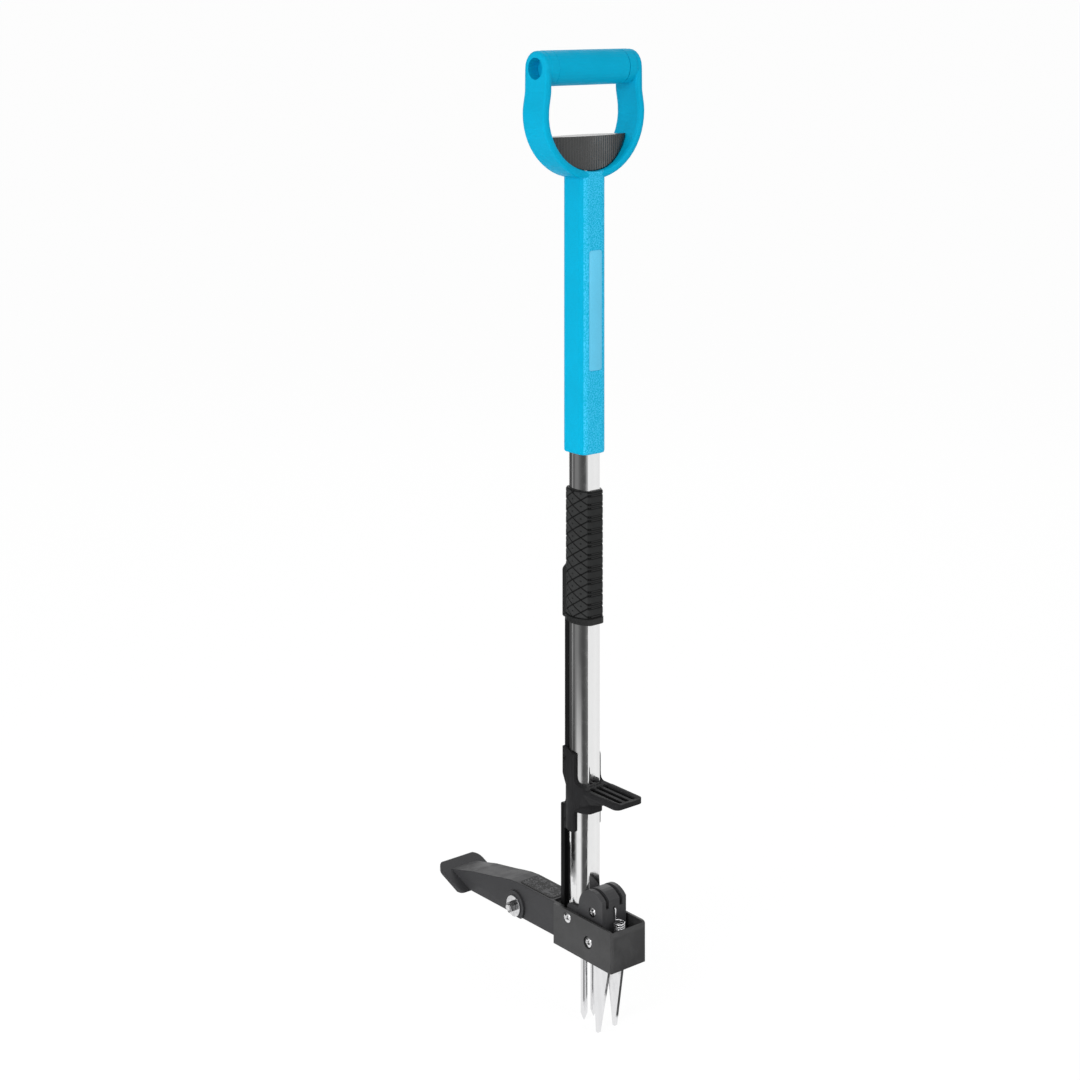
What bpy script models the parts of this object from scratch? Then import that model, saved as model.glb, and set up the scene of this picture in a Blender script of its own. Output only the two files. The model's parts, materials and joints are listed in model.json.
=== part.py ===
"""Stand-up weed puller: a pole with claws, a foot lever that closes them, and a sliding ejector.

The tool's own frame has its pole on the Z axis, the foot lever towards -X and the step towards +X.
"""

import math

import bmesh
import bpy
from mathutils import Matrix, Vector

MM = 0.001

# Clearances
SEAT_GAP = 0.3 * MM
SLIDE_GAP = 0.35 * MM

# Main tube: front and rear flats, bowed sides
TUBE_DEPTH = 32.1 * MM
TUBE_WIDTH = 25.7 * MM
TUBE_FLAT = 14.3 * MM
TUBE_WALL = 1.5 * MM
TUBE_CORNER = 2.0 * MM
TUBE_BOTTOM = 84.0 * MM
TUBE_LENGTH = 751.0 * MM
TUBE_TOP = TUBE_BOTTOM + TUBE_LENGTH
CAP_PLUG_LENGTH = 20.0 * MM

# Tilt pivot, claw pivot and guide bolt, in the XZ plane of the pole
PIVOT_Z = 106.6 * MM
CLAW_PIVOT_X = 30.8 * MM
CLAW_PIVOT_Z = 120.5 * MM
GUIDE_X = 32.0 * MM
GUIDE_Z = 92.4 * MM
TILT_ANGLE = math.radians(20.0)
CLAW_TURN_RATIO = 0.52

# Bolts
PIVOT_BOLT_RADIUS = 4.0 * MM
GUIDE_BOLT_RADIUS = 3.0 * MM
CLAW_PIN_RADIUS = 3.0 * MM
BOLT_HEAD_RADIUS = 5.2 * MM
GUIDE_HOLE_RADIUS = 6.25 * MM
RIVET_RADIUS = 2.0 * MM
RIVET_X = -3.0 * MM
RIVET_Z = 91.0 * MM

# Tines
TINE_RADIUS = 3.5 * MM
TINE_TANG_RADIUS = 2.5 * MM
TINE_X = 7.1 * MM
TINE_Y = 6.4 * MM
TINE_TANG = 18.0 * MM
TINE_POINT = 8.0 * MM
PLUG_FLANGE = 2.0 * MM
PLUG_LENGTH = 34.0 * MM

# Claw carrier
CARRIER_HALF_WIDTH = 16.0 * MM
CARRIER_RADIUS = 21.3 * MM
CARRIER_FRONT = 46.6 * MM
CARRIER_BOTTOM = 98.0 * MM
CHEEK_REAR = -8.6 * MM
CHEEK_BOTTOM = 84.0 * MM
CHEEK_TOP = 118.0 * MM
CARRIER_FRONT_WALL = 4.0 * MM
SLOT_SILL = 127.0 * MM
HOOK_HOLE_Z = 126.0 * MM
HOOK_HOLE_RADIUS = 1.5 * MM
HOOK_HOLE_DEPTH = 6.5 * MM

# Front claws
CLAW_THICKNESS = 3.2 * MM
CLAW_Y = 9.0 * MM
CLAW_SIDE_GAP = 0.4 * MM
CLAW_LOBE = 17.5 * MM
CLAW_FRONT_GAP = 1.7 * MM
CLAW_NECK_X = 24.0 * MM
CLAW_NECK_Z = 90.0 * MM
CLAW_WAIST_X = 27.8 * MM
CLAW_WAIST_Z = 60.0 * MM
CLAW_KNEE_Z = 47.0 * MM
CLAW_BELLY_X = 49.0 * MM
CLAW_BELLY_Z = 63.5 * MM
CLAW_TIP_X = 33.0 * MM
CLAW_TIP_WIDTH = 3.5 * MM
CLAW_SPLAY = 2.1 * MM
CLAW_SPLAY_TOP = 70.0 * MM

# Housing
HOUSING_REAR = -21.7 * MM
HOUSING_FRONT = 69.2 * MM
HOUSING_HALF_WIDTH = 23.0 * MM
HOUSING_BOTTOM = 73.1 * MM
HOUSING_TOP = 114.1 * MM
HOUSING_WALL = 2.5 * MM
HOUSING_FLOOR = 2.2 * MM
HOUSING_LIP_RADIUS = 6.0 * MM
HOUSING_EDGE_RADIUS = 3.0 * MM
FLOOR_OPENING_HALF = 15.0 * MM
FLOOR_OPENING_FRONT = 56.0 * MM
TONGUE_REAR = 48.5 * MM
TONGUE_HALF_WIDTH = 5.5 * MM

# Return spring and its tab
SPRING_X = 54.0 * MM
SPRING_WIRE = 1.5 * MM
SPRING_MEAN_RADIUS = 5.65 * MM
SPRING_PITCH = 2.2 * MM
SPRING_CURLS = 12
SPRING_BOTTOM = 88.6 * MM
SPRING_POINTS = 9
TAB_THICKNESS = 2.4 * MM
TAB_HALF_LENGTH = 4.5 * MM
TAB_EYE_Z = 81.0 * MM
TAB_EYE_RADIUS = 1.7 * MM
TAB_TOP = 86.0 * MM

# Foot lever
ARM_HALF_WIDTH = 15.4 * MM
ARM_HEEL_HALF_WIDTH = 17.5 * MM
ARM_WALL = 3.0 * MM
ARM_BOTTOM = 75.6 * MM
ARM_TOP = 110.3 * MM
ARM_OPEN_FRONT = -34.0 * MM
ARM_CREASE = -91.5 * MM
EAR_THICKNESS = 3.8 * MM
EAR_REAR = -20.0 * MM
EAR_RADIUS = 8.0 * MM
BOSS_X = -92.0 * MM
BOSS_Z = 86.5 * MM
BOSS_RADIUS = 15.0 * MM
BOSS_HEIGHT = 3.1 * MM
ARM_BOLT_RADIUS = 3.0 * MM
ARM_BOLT_END = 27.6 * MM
WASHER_RADIUS = 11.0 * MM
WASHER_THICKNESS = 1.8 * MM
NUT_ACROSS = 10.0 * MM
NUT_THICKNESS = 4.6 * MM
HEEL_REAR = 217.5 * MM
HEEL_REAR_TOP = 92.6 * MM
HEEL_OVERHANG = 1.2 * MM
HEEL_FRONT = 171.0 * MM
HEEL_SLOPE = math.radians(19.5)
HEEL_THICKNESS = 5.4 * MM
HEEL_HALF_WIDTH = 28.0 * MM
HEEL_CORNER = 12.0 * MM

# Tread pad
PAD_REAR = -90.0 * MM
PAD_FRONT = -37.0 * MM
PAD_HALF_WIDTH = 12.8 * MM
PAD_CORNER = 4.0 * MM
PAD_THICKNESS = 1.4 * MM
PAD_PROUD = 0.4 * MM

# Ejector
EJECT_TRAVEL = 60.0 * MM
SLEEVE_TOP = TUBE_TOP - 294.0 * MM
SLEEVE_BOTTOM = SLEEVE_TOP - 136.0 * MM
SLEEVE_WALL = 2.1 * MM
SLEEVE_FLANGE = 6.0 * MM
SLEEVE_FLANGE_WALL = 1.3 * MM
SPINE_REAR = -25.5 * MM
SPINE_HALF_WIDTH = 9.2 * MM
SPINE_SHOULDER = SLEEVE_BOTTOM + 50.0 * MM
SPINE_TOP = SPINE_SHOULDER + 8.0 * MM
BAR_FRONT = -16.9 * MM
UPPER_BAR_REAR = -23.0 * MM
UPPER_BAR_HALF_WIDTH = 7.4 * MM
UPPER_BAR_BOTTOM = 247.0 * MM
UPPER_BAR_TOP = SPINE_SHOULDER - 5.0 * MM
LOWER_FLANGE_REAR = -28.6 * MM
LOWER_FLANGE_FRONT = -22.8 * MM
LOWER_FLANGE_HALF_WIDTH = 8.0 * MM
LOWER_WEB_HALF_WIDTH = 3.0 * MM
LOWER_BAR_BOTTOM = 77.8 * MM
LOWER_BAR_TOP = 212.0 * MM
LOWER_WEB_TOP = 206.0 * MM
PLATE_BOTTOM = EJECT_TRAVEL + 15.2 * MM
PLATE_THICKNESS = 2.3 * MM
PLATE_TONGUE_HALF_WIDTH = 2.3 * MM
PLATE_HEAD_HALF_WIDTH = 6.7 * MM
PLATE_FRONT = 22.5 * MM

# Foot step
STEP_WALL = 3.0 * MM
STEP_COLLAR_BOTTOM = 237.0 * MM
STEP_COLLAR_TOP = 246.0 * MM
STEP_TOP = 239.7 * MM
STEP_FRONT = 70.8 * MM
STEP_HALF_WIDTH = 18.0 * MM
STEP_TIP_THICKNESS = 5.0 * MM
STEP_CORNER = 6.0 * MM
STEP_GROOVES = 3
STEP_GROOVE_WIDTH = 4.4 * MM
STEP_GROOVE_PITCH = 8.6 * MM
STEP_GROOVE_DEPTH = 1.6 * MM
SOCKET_REAR = -24.6 * MM
SOCKET_HALF_WIDTH = 8.6 * MM
SOCKET_BOTTOM = 240.0 * MM
SOCKET_TOP = 272.0 * MM
TAIL_BOTTOM = 188.0 * MM

# Handle shaft
SHAFT_DEPTH = 36.0 * MM
SHAFT_WIDTH = 32.8 * MM
SHAFT_CORNER = 8.5 * MM
SHAFT_BORE_TOP = TUBE_TOP + 11.0 * MM
SHAFT_TOP = SHAFT_BORE_TOP + 16.0 * MM
SHAFT_BOTTOM = SHAFT_TOP - 284.0 * MM
LABEL_WIDTH = 17.5 * MM
LABEL_BOTTOM = SHAFT_BOTTOM + 85.0 * MM
LABEL_TOP = LABEL_BOTTOM + 123.0 * MM
LABEL_DEPTH = 0.6 * MM
LABEL_CORNER = 3.0 * MM

# D of the handle
BOWL_Z = SHAFT_TOP + 64.0 * MM
HANDLE_WALL = 8.3 * MM
BOWL_INNER = 60.0 * MM
BOWL_OUTER = BOWL_INNER + HANDLE_WALL
HANDLE_INNER = BOWL_INNER - 3.3 * MM
HANDLE_OUTER = HANDLE_INNER + HANDLE_WALL
HANDLE_HALF_DEPTH = 18.0 * MM
HANDLE_EDGE = 3.2 * MM
GRIP_Z = BOWL_Z + 45.7 * MM
GRIP_RADIUS = 18.25 * MM
HANDLE_SWELL_TOP = GRIP_Z - GRIP_RADIUS - 0.45 * MM
GRIP_CORE_RADIUS = 12.0 * MM
GRIP_HALF_LENGTH = HANDLE_INNER - 9.2 * MM
RECESS_RADIUS = 11.25 * MM
RECESS_DEPTH = 13.0 * MM

# Release button and lock: at the top of its travel the handle leaves the lock just under the tube's cap
HANDLE_TRAVEL = 200.0 * MM
BUTTON_RADIUS = BOWL_INNER - 1.0 * MM
BUTTON_TOP = BOWL_Z - 24.0 * MM
BUTTON_TRAVEL = 5.0 * MM
BUTTON_HALF_DEPTH = 13.0 * MM
BUTTON_END_DEPTH = 2.5 * MM
BUTTON_RIBS = 33
BUTTON_RIB_DEPTH = 0.6 * MM
BUTTON_SIDE_GAP = 0.5 * MM
ROD_RADIUS = 2.5 * MM
ROD_SOCKET = 3.0 * MM
SPRING_POCKET_RADIUS = 4.6 * MM
SPRING_POCKET_FLOOR = SHAFT_TOP - 5.0 * MM
STEM_RADIUS = 6.0 * MM
STEM_TOP = SHAFT_BORE_TOP + 6.0 * MM
STEM_BLOCK_TOP = TUBE_TOP - CAP_PLUG_LENGTH - HANDLE_TRAVEL - 3 * MM
STEM_BLOCK_BOTTOM = STEM_BLOCK_TOP - 46 * MM
SHOE_HALF_DEPTH = 5.0 * MM
SHOE_BOTTOM = STEM_BLOCK_BOTTOM + 12 * MM
SHOE_TOP = SHOE_BOTTOM + 20 * MM
SHOE_BACK = -6.5 * MM
SHOE_DRAW_RATIO = 1.0 / 3.0
WEDGE_HALF_THICKNESS = 1.5 * MM
WEDGE_HALF_WIDTH = 1.6 * MM

# The pole stands off the frame's centre so that the whole tool is centred in X
POLE_X = (HEEL_REAR + HEEL_OVERHANG - STEP_FRONT) / 2

COLLECTION_NAME = "weed_puller"


# Scene helpers

def clear_scene():
    for obj in list(bpy.data.objects):
        bpy.data.objects.remove(obj, do_unlink=True)


def new_collection(name):
    collection = bpy.data.collections.new(name)
    bpy.context.scene.collection.children.link(collection)
    return collection


def paint(name, color, roughness, metallic=0.0):
    material = bpy.data.materials.new(name)
    material.use_nodes = True
    shader = material.node_tree.nodes["Principled BSDF"]
    shader.inputs["Base Color"].default_value = (*color, 1.0)
    shader.inputs["Roughness"].default_value = roughness
    shader.inputs["Metallic"].default_value = metallic
    return material


def empty(name, location, parent=None):
    obj = bpy.data.objects.new(name, None)
    parts.objects.link(obj)
    obj.empty_display_size = 0.03
    obj["tool_origin"] = tuple(location)
    if parent is None:
        obj.location = (POLE_X, 0.0, 0.0)
    else:
        obj.parent = parent
        obj.location = Vector(location) - Vector(parent["tool_origin"])
    return obj


def seat(obj, body, material):
    """Links a finished piece and hangs it on its body's empty, where it already stands."""
    parts.objects.link(obj)
    obj.parent = body
    obj.location = obj.location - Vector(body["tool_origin"])
    obj.data.materials.clear()
    obj.data.materials.append(material)
    obj.data.shade_smooth()
    obj.data.set_sharp_from_angle(angle=math.radians(32))
    return obj


def tool(obj):
    """Keeps a cutter or a joined shape out of the part, in the frame of the tool."""
    cutters.objects.link(obj)
    obj.parent = frame
    obj.hide_render = True
    obj.display_type = "WIRE"
    return obj


def boolean(obj, other, operation):
    modifier = obj.modifiers.new(operation.title(), "BOOLEAN")
    modifier.operation = operation
    modifier.solver = "EXACT"
    modifier.object = tool(other)
    return obj


def cut(obj, *others):
    for other in others:
        boolean(obj, other, "DIFFERENCE")
    return obj


def fuse(obj, *others):
    for other in others:
        boolean(obj, other, "UNION")
    return obj


def keep(obj, *others):
    for other in others:
        boolean(obj, other, "INTERSECT")
    return obj


def round_edges(obj, width, segments=2, angle=35):
    modifier = obj.modifiers.new("Round edges", "BEVEL")
    modifier.width = width
    modifier.segments = segments
    modifier.limit_method = "ANGLE"
    modifier.angle_limit = math.radians(angle)
    return obj


# Shape helpers

def from_bmesh(name, mesh_data, origin):
    mesh = bpy.data.meshes.new(name)
    mesh_data.to_mesh(mesh)
    mesh_data.free()
    obj = bpy.data.objects.new(name, mesh)
    obj.location = origin
    return obj


def box(name, low, high):
    low = Vector(low)
    high = Vector(high)
    shape = bmesh.new()
    bmesh.ops.create_cube(shape, size=1.0)
    bmesh.ops.scale(shape, vec=high - low, verts=shape.verts)
    return from_bmesh(name, shape, (low + high) / 2)


def cylinder(name, radius, start, end, sides=20):
    start = Vector(start)
    axis = Vector(end) - start
    shape = bmesh.new()
    bmesh.ops.create_cone(
        shape, cap_ends=True, segments=sides, radius1=radius, radius2=radius, depth=axis.length
    )
    shape.transform(axis.to_track_quat("Z", "Y").to_matrix().to_4x4())
    return from_bmesh(name, shape, start + axis / 2)


def across(name, radius, x, z, half_length, sides=20):
    """A cylinder along Y through the whole width."""
    return cylinder(name, radius, (x, -half_length, z), (x, half_length, z), sides)


def turned(name, profile, location, direction=(0, 0, 1), steps=20):
    """A profile of (radius, height) pairs, top to bottom, turned about its own axis."""
    shape = bmesh.new()
    points = [shape.verts.new((radius, 0.0, height)) for radius, height in profile]
    for first, second in zip(points, points[1:]):
        shape.edges.new((first, second))
    obj = from_bmesh(name, shape, location)
    obj.rotation_euler = Vector(direction).to_track_quat("Z", "Y").to_euler()
    screw = obj.modifiers.new("Turn", "SCREW")
    screw.steps = steps
    screw.render_steps = steps
    screw.use_merge_vertices = True
    screw.merge_threshold = 0.00001
    return obj


PLANES = {
    "XY": Matrix.Identity(4),
    "XZ": Matrix(((1, 0, 0, 0), (0, 0, -1, 0), (0, 1, 0, 0), (0, 0, 0, 1))),
    "YZ": Matrix(((0, 0, 1, 0), (1, 0, 0, 0), (0, 1, 0, 0), (0, 0, 0, 1))),
}


def prism(name, loops, plane, low, high, edge=0.0):
    """A flat outline, with any holes as further loops, drawn out from low to high across its plane."""
    curve = bpy.data.curves.new(name, "CURVE")
    curve.dimensions = "2D"
    curve.fill_mode = "BOTH"
    curve.extrude = (high - low) / 2 - edge
    curve.bevel_depth = edge
    curve.bevel_resolution = 1
    curve.offset = -edge
    for loop in loops:
        spline = curve.splines.new("POLY")
        spline.points.add(len(loop) - 1)
        for point, (u, v) in zip(spline.points, loop):
            point.co = (u, v, 0.0, 1.0)
        spline.use_cyclic_u = True
    drawn = bpy.data.objects.new(name, curve)
    bpy.context.scene.collection.objects.link(drawn)
    graph = bpy.context.evaluated_depsgraph_get()
    mesh = bpy.data.meshes.new_from_object(drawn.evaluated_get(graph))
    bpy.data.objects.remove(drawn, do_unlink=True)
    bpy.data.curves.remove(curve)
    shape = bmesh.new()
    shape.from_mesh(mesh)
    bpy.data.meshes.remove(mesh)
    bmesh.ops.remove_doubles(shape, verts=shape.verts, dist=0.000001)
    middle = (low + high) / 2
    shape.transform(PLANES[plane] @ Matrix.Translation((0.0, 0.0, -middle if plane == "XZ" else middle)))
    bmesh.ops.recalc_face_normals(shape, faces=shape.faces)
    return from_bmesh(name, shape, (0.0, 0.0, 0.0))


def arc(centre_u, centre_v, radius, start, end, steps):
    """Points on an arc, from one angle to another in degrees."""
    return [
        (
            centre_u + radius * math.cos(math.radians(start + (end - start) * step / steps)),
            centre_v + radius * math.sin(math.radians(start + (end - start) * step / steps)),
        )
        for step in range(steps + 1)
    ]


def rounded(corners, steps=3):
    """An outline of (u, v, radius) corners, each corner replaced by its arc."""
    points = []
    count = len(corners)
    for index, (u, v, radius) in enumerate(corners):
        here = Vector((u, v))
        if radius <= 0:
            points.append((u, v))
            continue
        back = (Vector(corners[index - 1][:2]) - here).normalized()
        ahead = (Vector(corners[(index + 1) % count][:2]) - here).normalized()
        half = math.acos(max(-1.0, min(1.0, back.dot(ahead)))) / 2
        reach = radius / math.tan(half)
        centre = here + (back + ahead).normalized() * radius / math.sin(half)
        first = here + back * reach - centre
        last = here + ahead * reach - centre
        turn = first.angle_signed(last)
        for step in range(steps + 1):
            swung = first.copy()
            swung.rotate(Matrix.Rotation(-turn * step / steps, 2))
            points.append(tuple(centre + swung))
    return points


def rectangle(low_u, high_u, low_v, high_v, radius, steps=3):
    return rounded(
        [(low_u, low_v, radius), (high_u, low_v, radius), (high_u, high_v, radius), (low_u, high_v, radius)],
        steps,
    )


# The tube's section, and every section parallel to it

def barrel(offset, corner_steps=2, side_steps=6):
    half_depth = TUBE_DEPTH / 2
    bow = (TUBE_WIDTH - TUBE_FLAT) / 2
    side_radius = (half_depth**2 + bow**2) / (2 * bow)
    side_centre = TUBE_WIDTH / 2 - side_radius
    corner_x = half_depth - TUBE_CORNER
    corner_y = side_centre + math.sqrt((side_radius - TUBE_CORNER) ** 2 - corner_x**2)
    reach = math.degrees(math.atan2(corner_y - side_centre, corner_x))
    quarter = arc(corner_x, corner_y, TUBE_CORNER + offset, 0, reach, corner_steps)
    side = arc(0, side_centre, side_radius + offset, reach, 180 - reach, side_steps)
    other = [(-x, y) for x, y in reversed(quarter)]
    upper = quarter + side[1:-1] + other
    return upper + [(-x, -y) for x, y in upper]


def barrel_prism(name, offset, low, high, inner=None):
    loops = [barrel(offset)]
    if inner is not None:
        loops.append(barrel(inner))
    return prism(name, loops, "XY", low, high)


# Main tube and what is fixed to it

def bolt_shape(name, x, z, radius, head_radius, inner, outer, far_outer=None):
    """A bolt along Y with a head on each side: the heads bear from inner to outer."""
    far = outer if far_outer is None else far_outer
    profile = [
        (0.0, outer), (head_radius - 0.4 * MM, outer), (head_radius, outer - 0.4 * MM), (head_radius, inner),
        (radius, inner), (radius, -inner), (head_radius, -inner), (head_radius, 0.4 * MM - far),
        (head_radius - 0.4 * MM, -far), (0.0, -far),
    ]
    return turned(name, profile, (x, 0.0, z), (0, -1, 0))


def build_pole(pole, metal, dark, steel):
    tube = barrel_prism("main_tube", 0.0, TUBE_BOTTOM, TUBE_TOP, -TUBE_WALL)
    cut(
        tube,
        across("tube_pivot_hole", PIVOT_BOLT_RADIUS + SEAT_GAP, 0.0, PIVOT_Z, TUBE_WIDTH),
        across("tube_rivet_hole", RIVET_RADIUS + SEAT_GAP, RIVET_X, RIVET_Z, TUBE_WIDTH),
    )
    seat(tube, pole, metal)

    plug = barrel_prism(
        "tine_plug", -TUBE_WALL - SEAT_GAP, TUBE_BOTTOM - SEAT_GAP - PLUG_FLANGE, TUBE_BOTTOM + PLUG_LENGTH
    )
    fuse(plug, barrel_prism("plug_flange", 0.0, TUBE_BOTTOM - SEAT_GAP - PLUG_FLANGE, TUBE_BOTTOM - SEAT_GAP))
    cut(
        plug,
        across("plug_pivot_hole", PIVOT_BOLT_RADIUS + SEAT_GAP, 0.0, PIVOT_Z, TUBE_WIDTH),
        across("plug_rivet_hole", RIVET_RADIUS + SEAT_GAP, RIVET_X, RIVET_Z, TUBE_WIDTH),
    )
    tine_shoulder = TUBE_BOTTOM - 2 * SEAT_GAP - PLUG_FLANGE
    tang_top = tine_shoulder + TINE_TANG
    for side, name in ((-1, "right"), (1, "left")):
        y = side * TINE_Y
        tine = turned(
            "rear_tine_" + name,
            [
                (0.0, tang_top), (TINE_TANG_RADIUS, tang_top), (TINE_TANG_RADIUS, tine_shoulder),
                (TINE_RADIUS, tine_shoulder), (TINE_RADIUS, TINE_POINT),
                (0.5 * TINE_RADIUS, 0.42 * TINE_POINT), (0.0, 0.0),
            ],
            (TINE_X, y, 0.0),
            steps=24,
        )
        seat(tine, pole, steel)
        cut(
            plug,
            cylinder(
                "tine_hole_" + name, TINE_TANG_RADIUS + SEAT_GAP,
                (TINE_X, y, tine_shoulder - PLUG_FLANGE), (TINE_X, y, tang_top + SEAT_GAP), 24,
            ),
        )
    seat(plug, pole, dark)

    stem_hole = cylinder(
        "cap_stem_hole", STEM_RADIUS + SLIDE_GAP,
        (0, 0, TUBE_BOTTOM), (0, 0, TUBE_TOP + 20 * MM),
    )
    cap = barrel_prism("tube_cap", -TUBE_WALL - SEAT_GAP, TUBE_TOP - CAP_PLUG_LENGTH, TUBE_TOP + 2.5 * MM)
    fuse(cap, barrel_prism("cap_flange", 0.0, TUBE_TOP + SEAT_GAP, TUBE_TOP + 2.5 * MM))
    cut(cap, stem_hole)
    seat(cap, pole, dark)


def build_carrier(pole, dark, steel):
    drop = math.sqrt(CARRIER_RADIUS**2 - (CARRIER_FRONT - CLAW_PIVOT_X) ** 2)
    front_angle = math.degrees(math.atan2(drop, CARRIER_FRONT - CLAW_PIVOT_X))
    outline = (
        [(CARRIER_FRONT, CARRIER_BOTTOM)]
        + arc(CLAW_PIVOT_X, CLAW_PIVOT_Z, CARRIER_RADIUS, front_angle, 183, 14)
        + rounded([
            (CLAW_PIVOT_X - CARRIER_RADIUS - 1 * MM, CHEEK_TOP, 0.0),
            (CHEEK_REAR, CHEEK_TOP, 5 * MM),
            (CHEEK_REAR, CHEEK_BOTTOM, 3 * MM),
            (12 * MM, CHEEK_BOTTOM, 3 * MM),
            (17 * MM, CARRIER_BOTTOM, 0.0),
        ])
    )
    carrier = prism("claw_carrier", [outline], "XZ", -CARRIER_HALF_WIDTH, CARRIER_HALF_WIDTH)
    round_edges(carrier, 1.0 * MM, 1, 50)
    cut(carrier, barrel_prism("carrier_tube_way", SLIDE_GAP, CHEEK_BOTTOM - 10 * MM, CLAW_PIVOT_Z + 40 * MM))
    slot_half = CLAW_THICKNESS / 2 + CLAW_SIDE_GAP
    inner_front = CARRIER_FRONT - CARRIER_FRONT_WALL
    slot_outline = [
        (TUBE_DEPTH / 2, CARRIER_BOTTOM - 10 * MM),
        (inner_front, CARRIER_BOTTOM - 10 * MM),
        (inner_front, SLOT_SILL),
        (CARRIER_FRONT + 10 * MM, SLOT_SILL),
        (CARRIER_FRONT + 10 * MM, CLAW_PIVOT_Z + 40 * MM),
        (TUBE_DEPTH / 2, CLAW_PIVOT_Z + 40 * MM),
    ]
    for side, name in ((-1, "right"), (1, "left")):
        middle = side * CLAW_Y
        cut(carrier, prism("claw_slot_" + name, [slot_outline], "XZ", middle - slot_half, middle + slot_half))
    head_depth = 2.0 * MM
    cut(
        carrier,
        across("carrier_pin_hole", CLAW_PIN_RADIUS + SEAT_GAP, CLAW_PIVOT_X, CLAW_PIVOT_Z, 30 * MM),
        across("carrier_pivot_hole", PIVOT_BOLT_RADIUS + SEAT_GAP, 0.0, PIVOT_Z, 30 * MM),
        across("carrier_rivet_hole", RIVET_RADIUS + SEAT_GAP, RIVET_X, RIVET_Z, 30 * MM),
        cylinder(
            "hook_hole", HOOK_HOLE_RADIUS,
            (CARRIER_FRONT - HOOK_HOLE_DEPTH, 0, HOOK_HOLE_Z), (CARRIER_FRONT + 5 * MM, 0, HOOK_HOLE_Z), 16,
        ),
    )
    for side, name in ((-1, "near"), (1, "far")):
        cut(
            carrier,
            cylinder(
                "pin_counterbore_" + name, BOLT_HEAD_RADIUS - 0.4 * MM + SEAT_GAP,
                (CLAW_PIVOT_X, side * (CARRIER_HALF_WIDTH - head_depth - SEAT_GAP), CLAW_PIVOT_Z),
                (CLAW_PIVOT_X, side * (CARRIER_HALF_WIDTH + 5 * MM), CLAW_PIVOT_Z),
            ),
        )
    seat(carrier, pole, dark)
    pin = bolt_shape(
        "carrier_pin", CLAW_PIVOT_X, CLAW_PIVOT_Z, CLAW_PIN_RADIUS, BOLT_HEAD_RADIUS - 0.4 * MM,
        CARRIER_HALF_WIDTH - head_depth, CARRIER_HALF_WIDTH,
    )
    seat(pin, pole, steel)
    rivet_half = CARRIER_HALF_WIDTH - 0.1 * MM
    seat(across("carrier_rivet", RIVET_RADIUS, RIVET_X, RIVET_Z, rivet_half, 24), pole, steel)


# Front claws

def guide_path(steps=8):
    """Where the guide bolt runs in a claw, while the pole tilts and the claw turns by its ratio."""
    pivot = Vector((0.0, PIVOT_Z))
    claw = Vector((CLAW_PIVOT_X, CLAW_PIVOT_Z))
    guide = Vector((GUIDE_X, GUIDE_Z))
    path = []
    for step in range(steps + 1):
        tilt = TILT_ANGLE * step / steps
        arm = claw - pivot
        arm.rotate(Matrix.Rotation(tilt, 2))
        reach = guide - (pivot + arm)
        reach.rotate(Matrix.Rotation(-tilt * CLAW_TURN_RATIO, 2))
        path.append(claw + reach)
    return path


def slot_outline(path, radius, steps=8):
    """A slot of one width along a path, with round ends."""
    start = path[0] - path[1]
    end = path[-1] - path[-2]
    points = []
    turn = math.degrees(math.atan2(end.y, end.x))
    points += arc(path[-1].x, path[-1].y, radius, turn - 90, turn + 90, steps)
    turn = math.degrees(math.atan2(start.y, start.x))
    points += arc(path[0].x, path[0].y, radius, turn - 90, turn + 90, steps)
    return points


def build_claws(claws, steel):
    front = CARRIER_FRONT - CARRIER_FRONT_WALL - CLAW_FRONT_GAP
    front_reach = front - CLAW_PIVOT_X
    front_angle = math.degrees(math.acos(front_reach / CLAW_LOBE))
    rear_angle = 180 - math.degrees(math.acos(13.6 * MM / CLAW_LOBE))
    outline = (
        arc(CLAW_PIVOT_X, CLAW_PIVOT_Z, CLAW_LOBE, front_angle, rear_angle, 12)
        + rounded([
            (18.6 * MM, 109.5 * MM, 0.0),
            (CLAW_NECK_X, CLAW_NECK_Z, 20 * MM),
            (CLAW_WAIST_X, CLAW_WAIST_Z, 20 * MM),
            (CLAW_WAIST_X, CLAW_KNEE_Z, 20 * MM),
            (CLAW_TIP_X, 0.0, 0.8 * MM),
            (CLAW_TIP_X + CLAW_TIP_WIDTH, 0.0, 0.8 * MM),
            (CLAW_BELLY_X, CLAW_BELLY_Z, 12 * MM),
            (front + 1.6 * MM, CLAW_NECK_Z + 2 * MM, 20 * MM),
            (front, 106.0 * MM, 0.0),
        ])
    )
    run = slot_outline(guide_path(), GUIDE_BOLT_RADIUS + SEAT_GAP)
    eye = arc(CLAW_PIVOT_X, CLAW_PIVOT_Z, CLAW_PIN_RADIUS + SEAT_GAP, 0, 342, 19)
    for side, name in ((-1, "right"), (1, "left")):
        middle = side * CLAW_Y
        claw = prism(
            "front_claw_" + name, [outline, run, eye], "XZ",
            middle - CLAW_THICKNESS / 2, middle + CLAW_THICKNESS / 2,
        )
        shape = bmesh.new()
        shape.from_mesh(claw.data)
        bmesh.ops.bisect_plane(
            shape, geom=shape.verts[:] + shape.edges[:] + shape.faces[:],
            plane_co=(0, 0, CLAW_SPLAY_TOP), plane_no=(0, 0, 1), dist=0.000001,
        )
        for vertex in shape.verts:
            depth = max(0.0, (CLAW_SPLAY_TOP - vertex.co.z) / CLAW_SPLAY_TOP)
            vertex.co.y += side * CLAW_SPLAY * depth
        bmesh.ops.triangulate(shape, faces=shape.faces)
        shape.to_mesh(claw.data)
        shape.free()
        move_origin(claw, (CLAW_PIVOT_X, middle, CLAW_PIVOT_Z))
        seat(claw, claws, steel)


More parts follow.
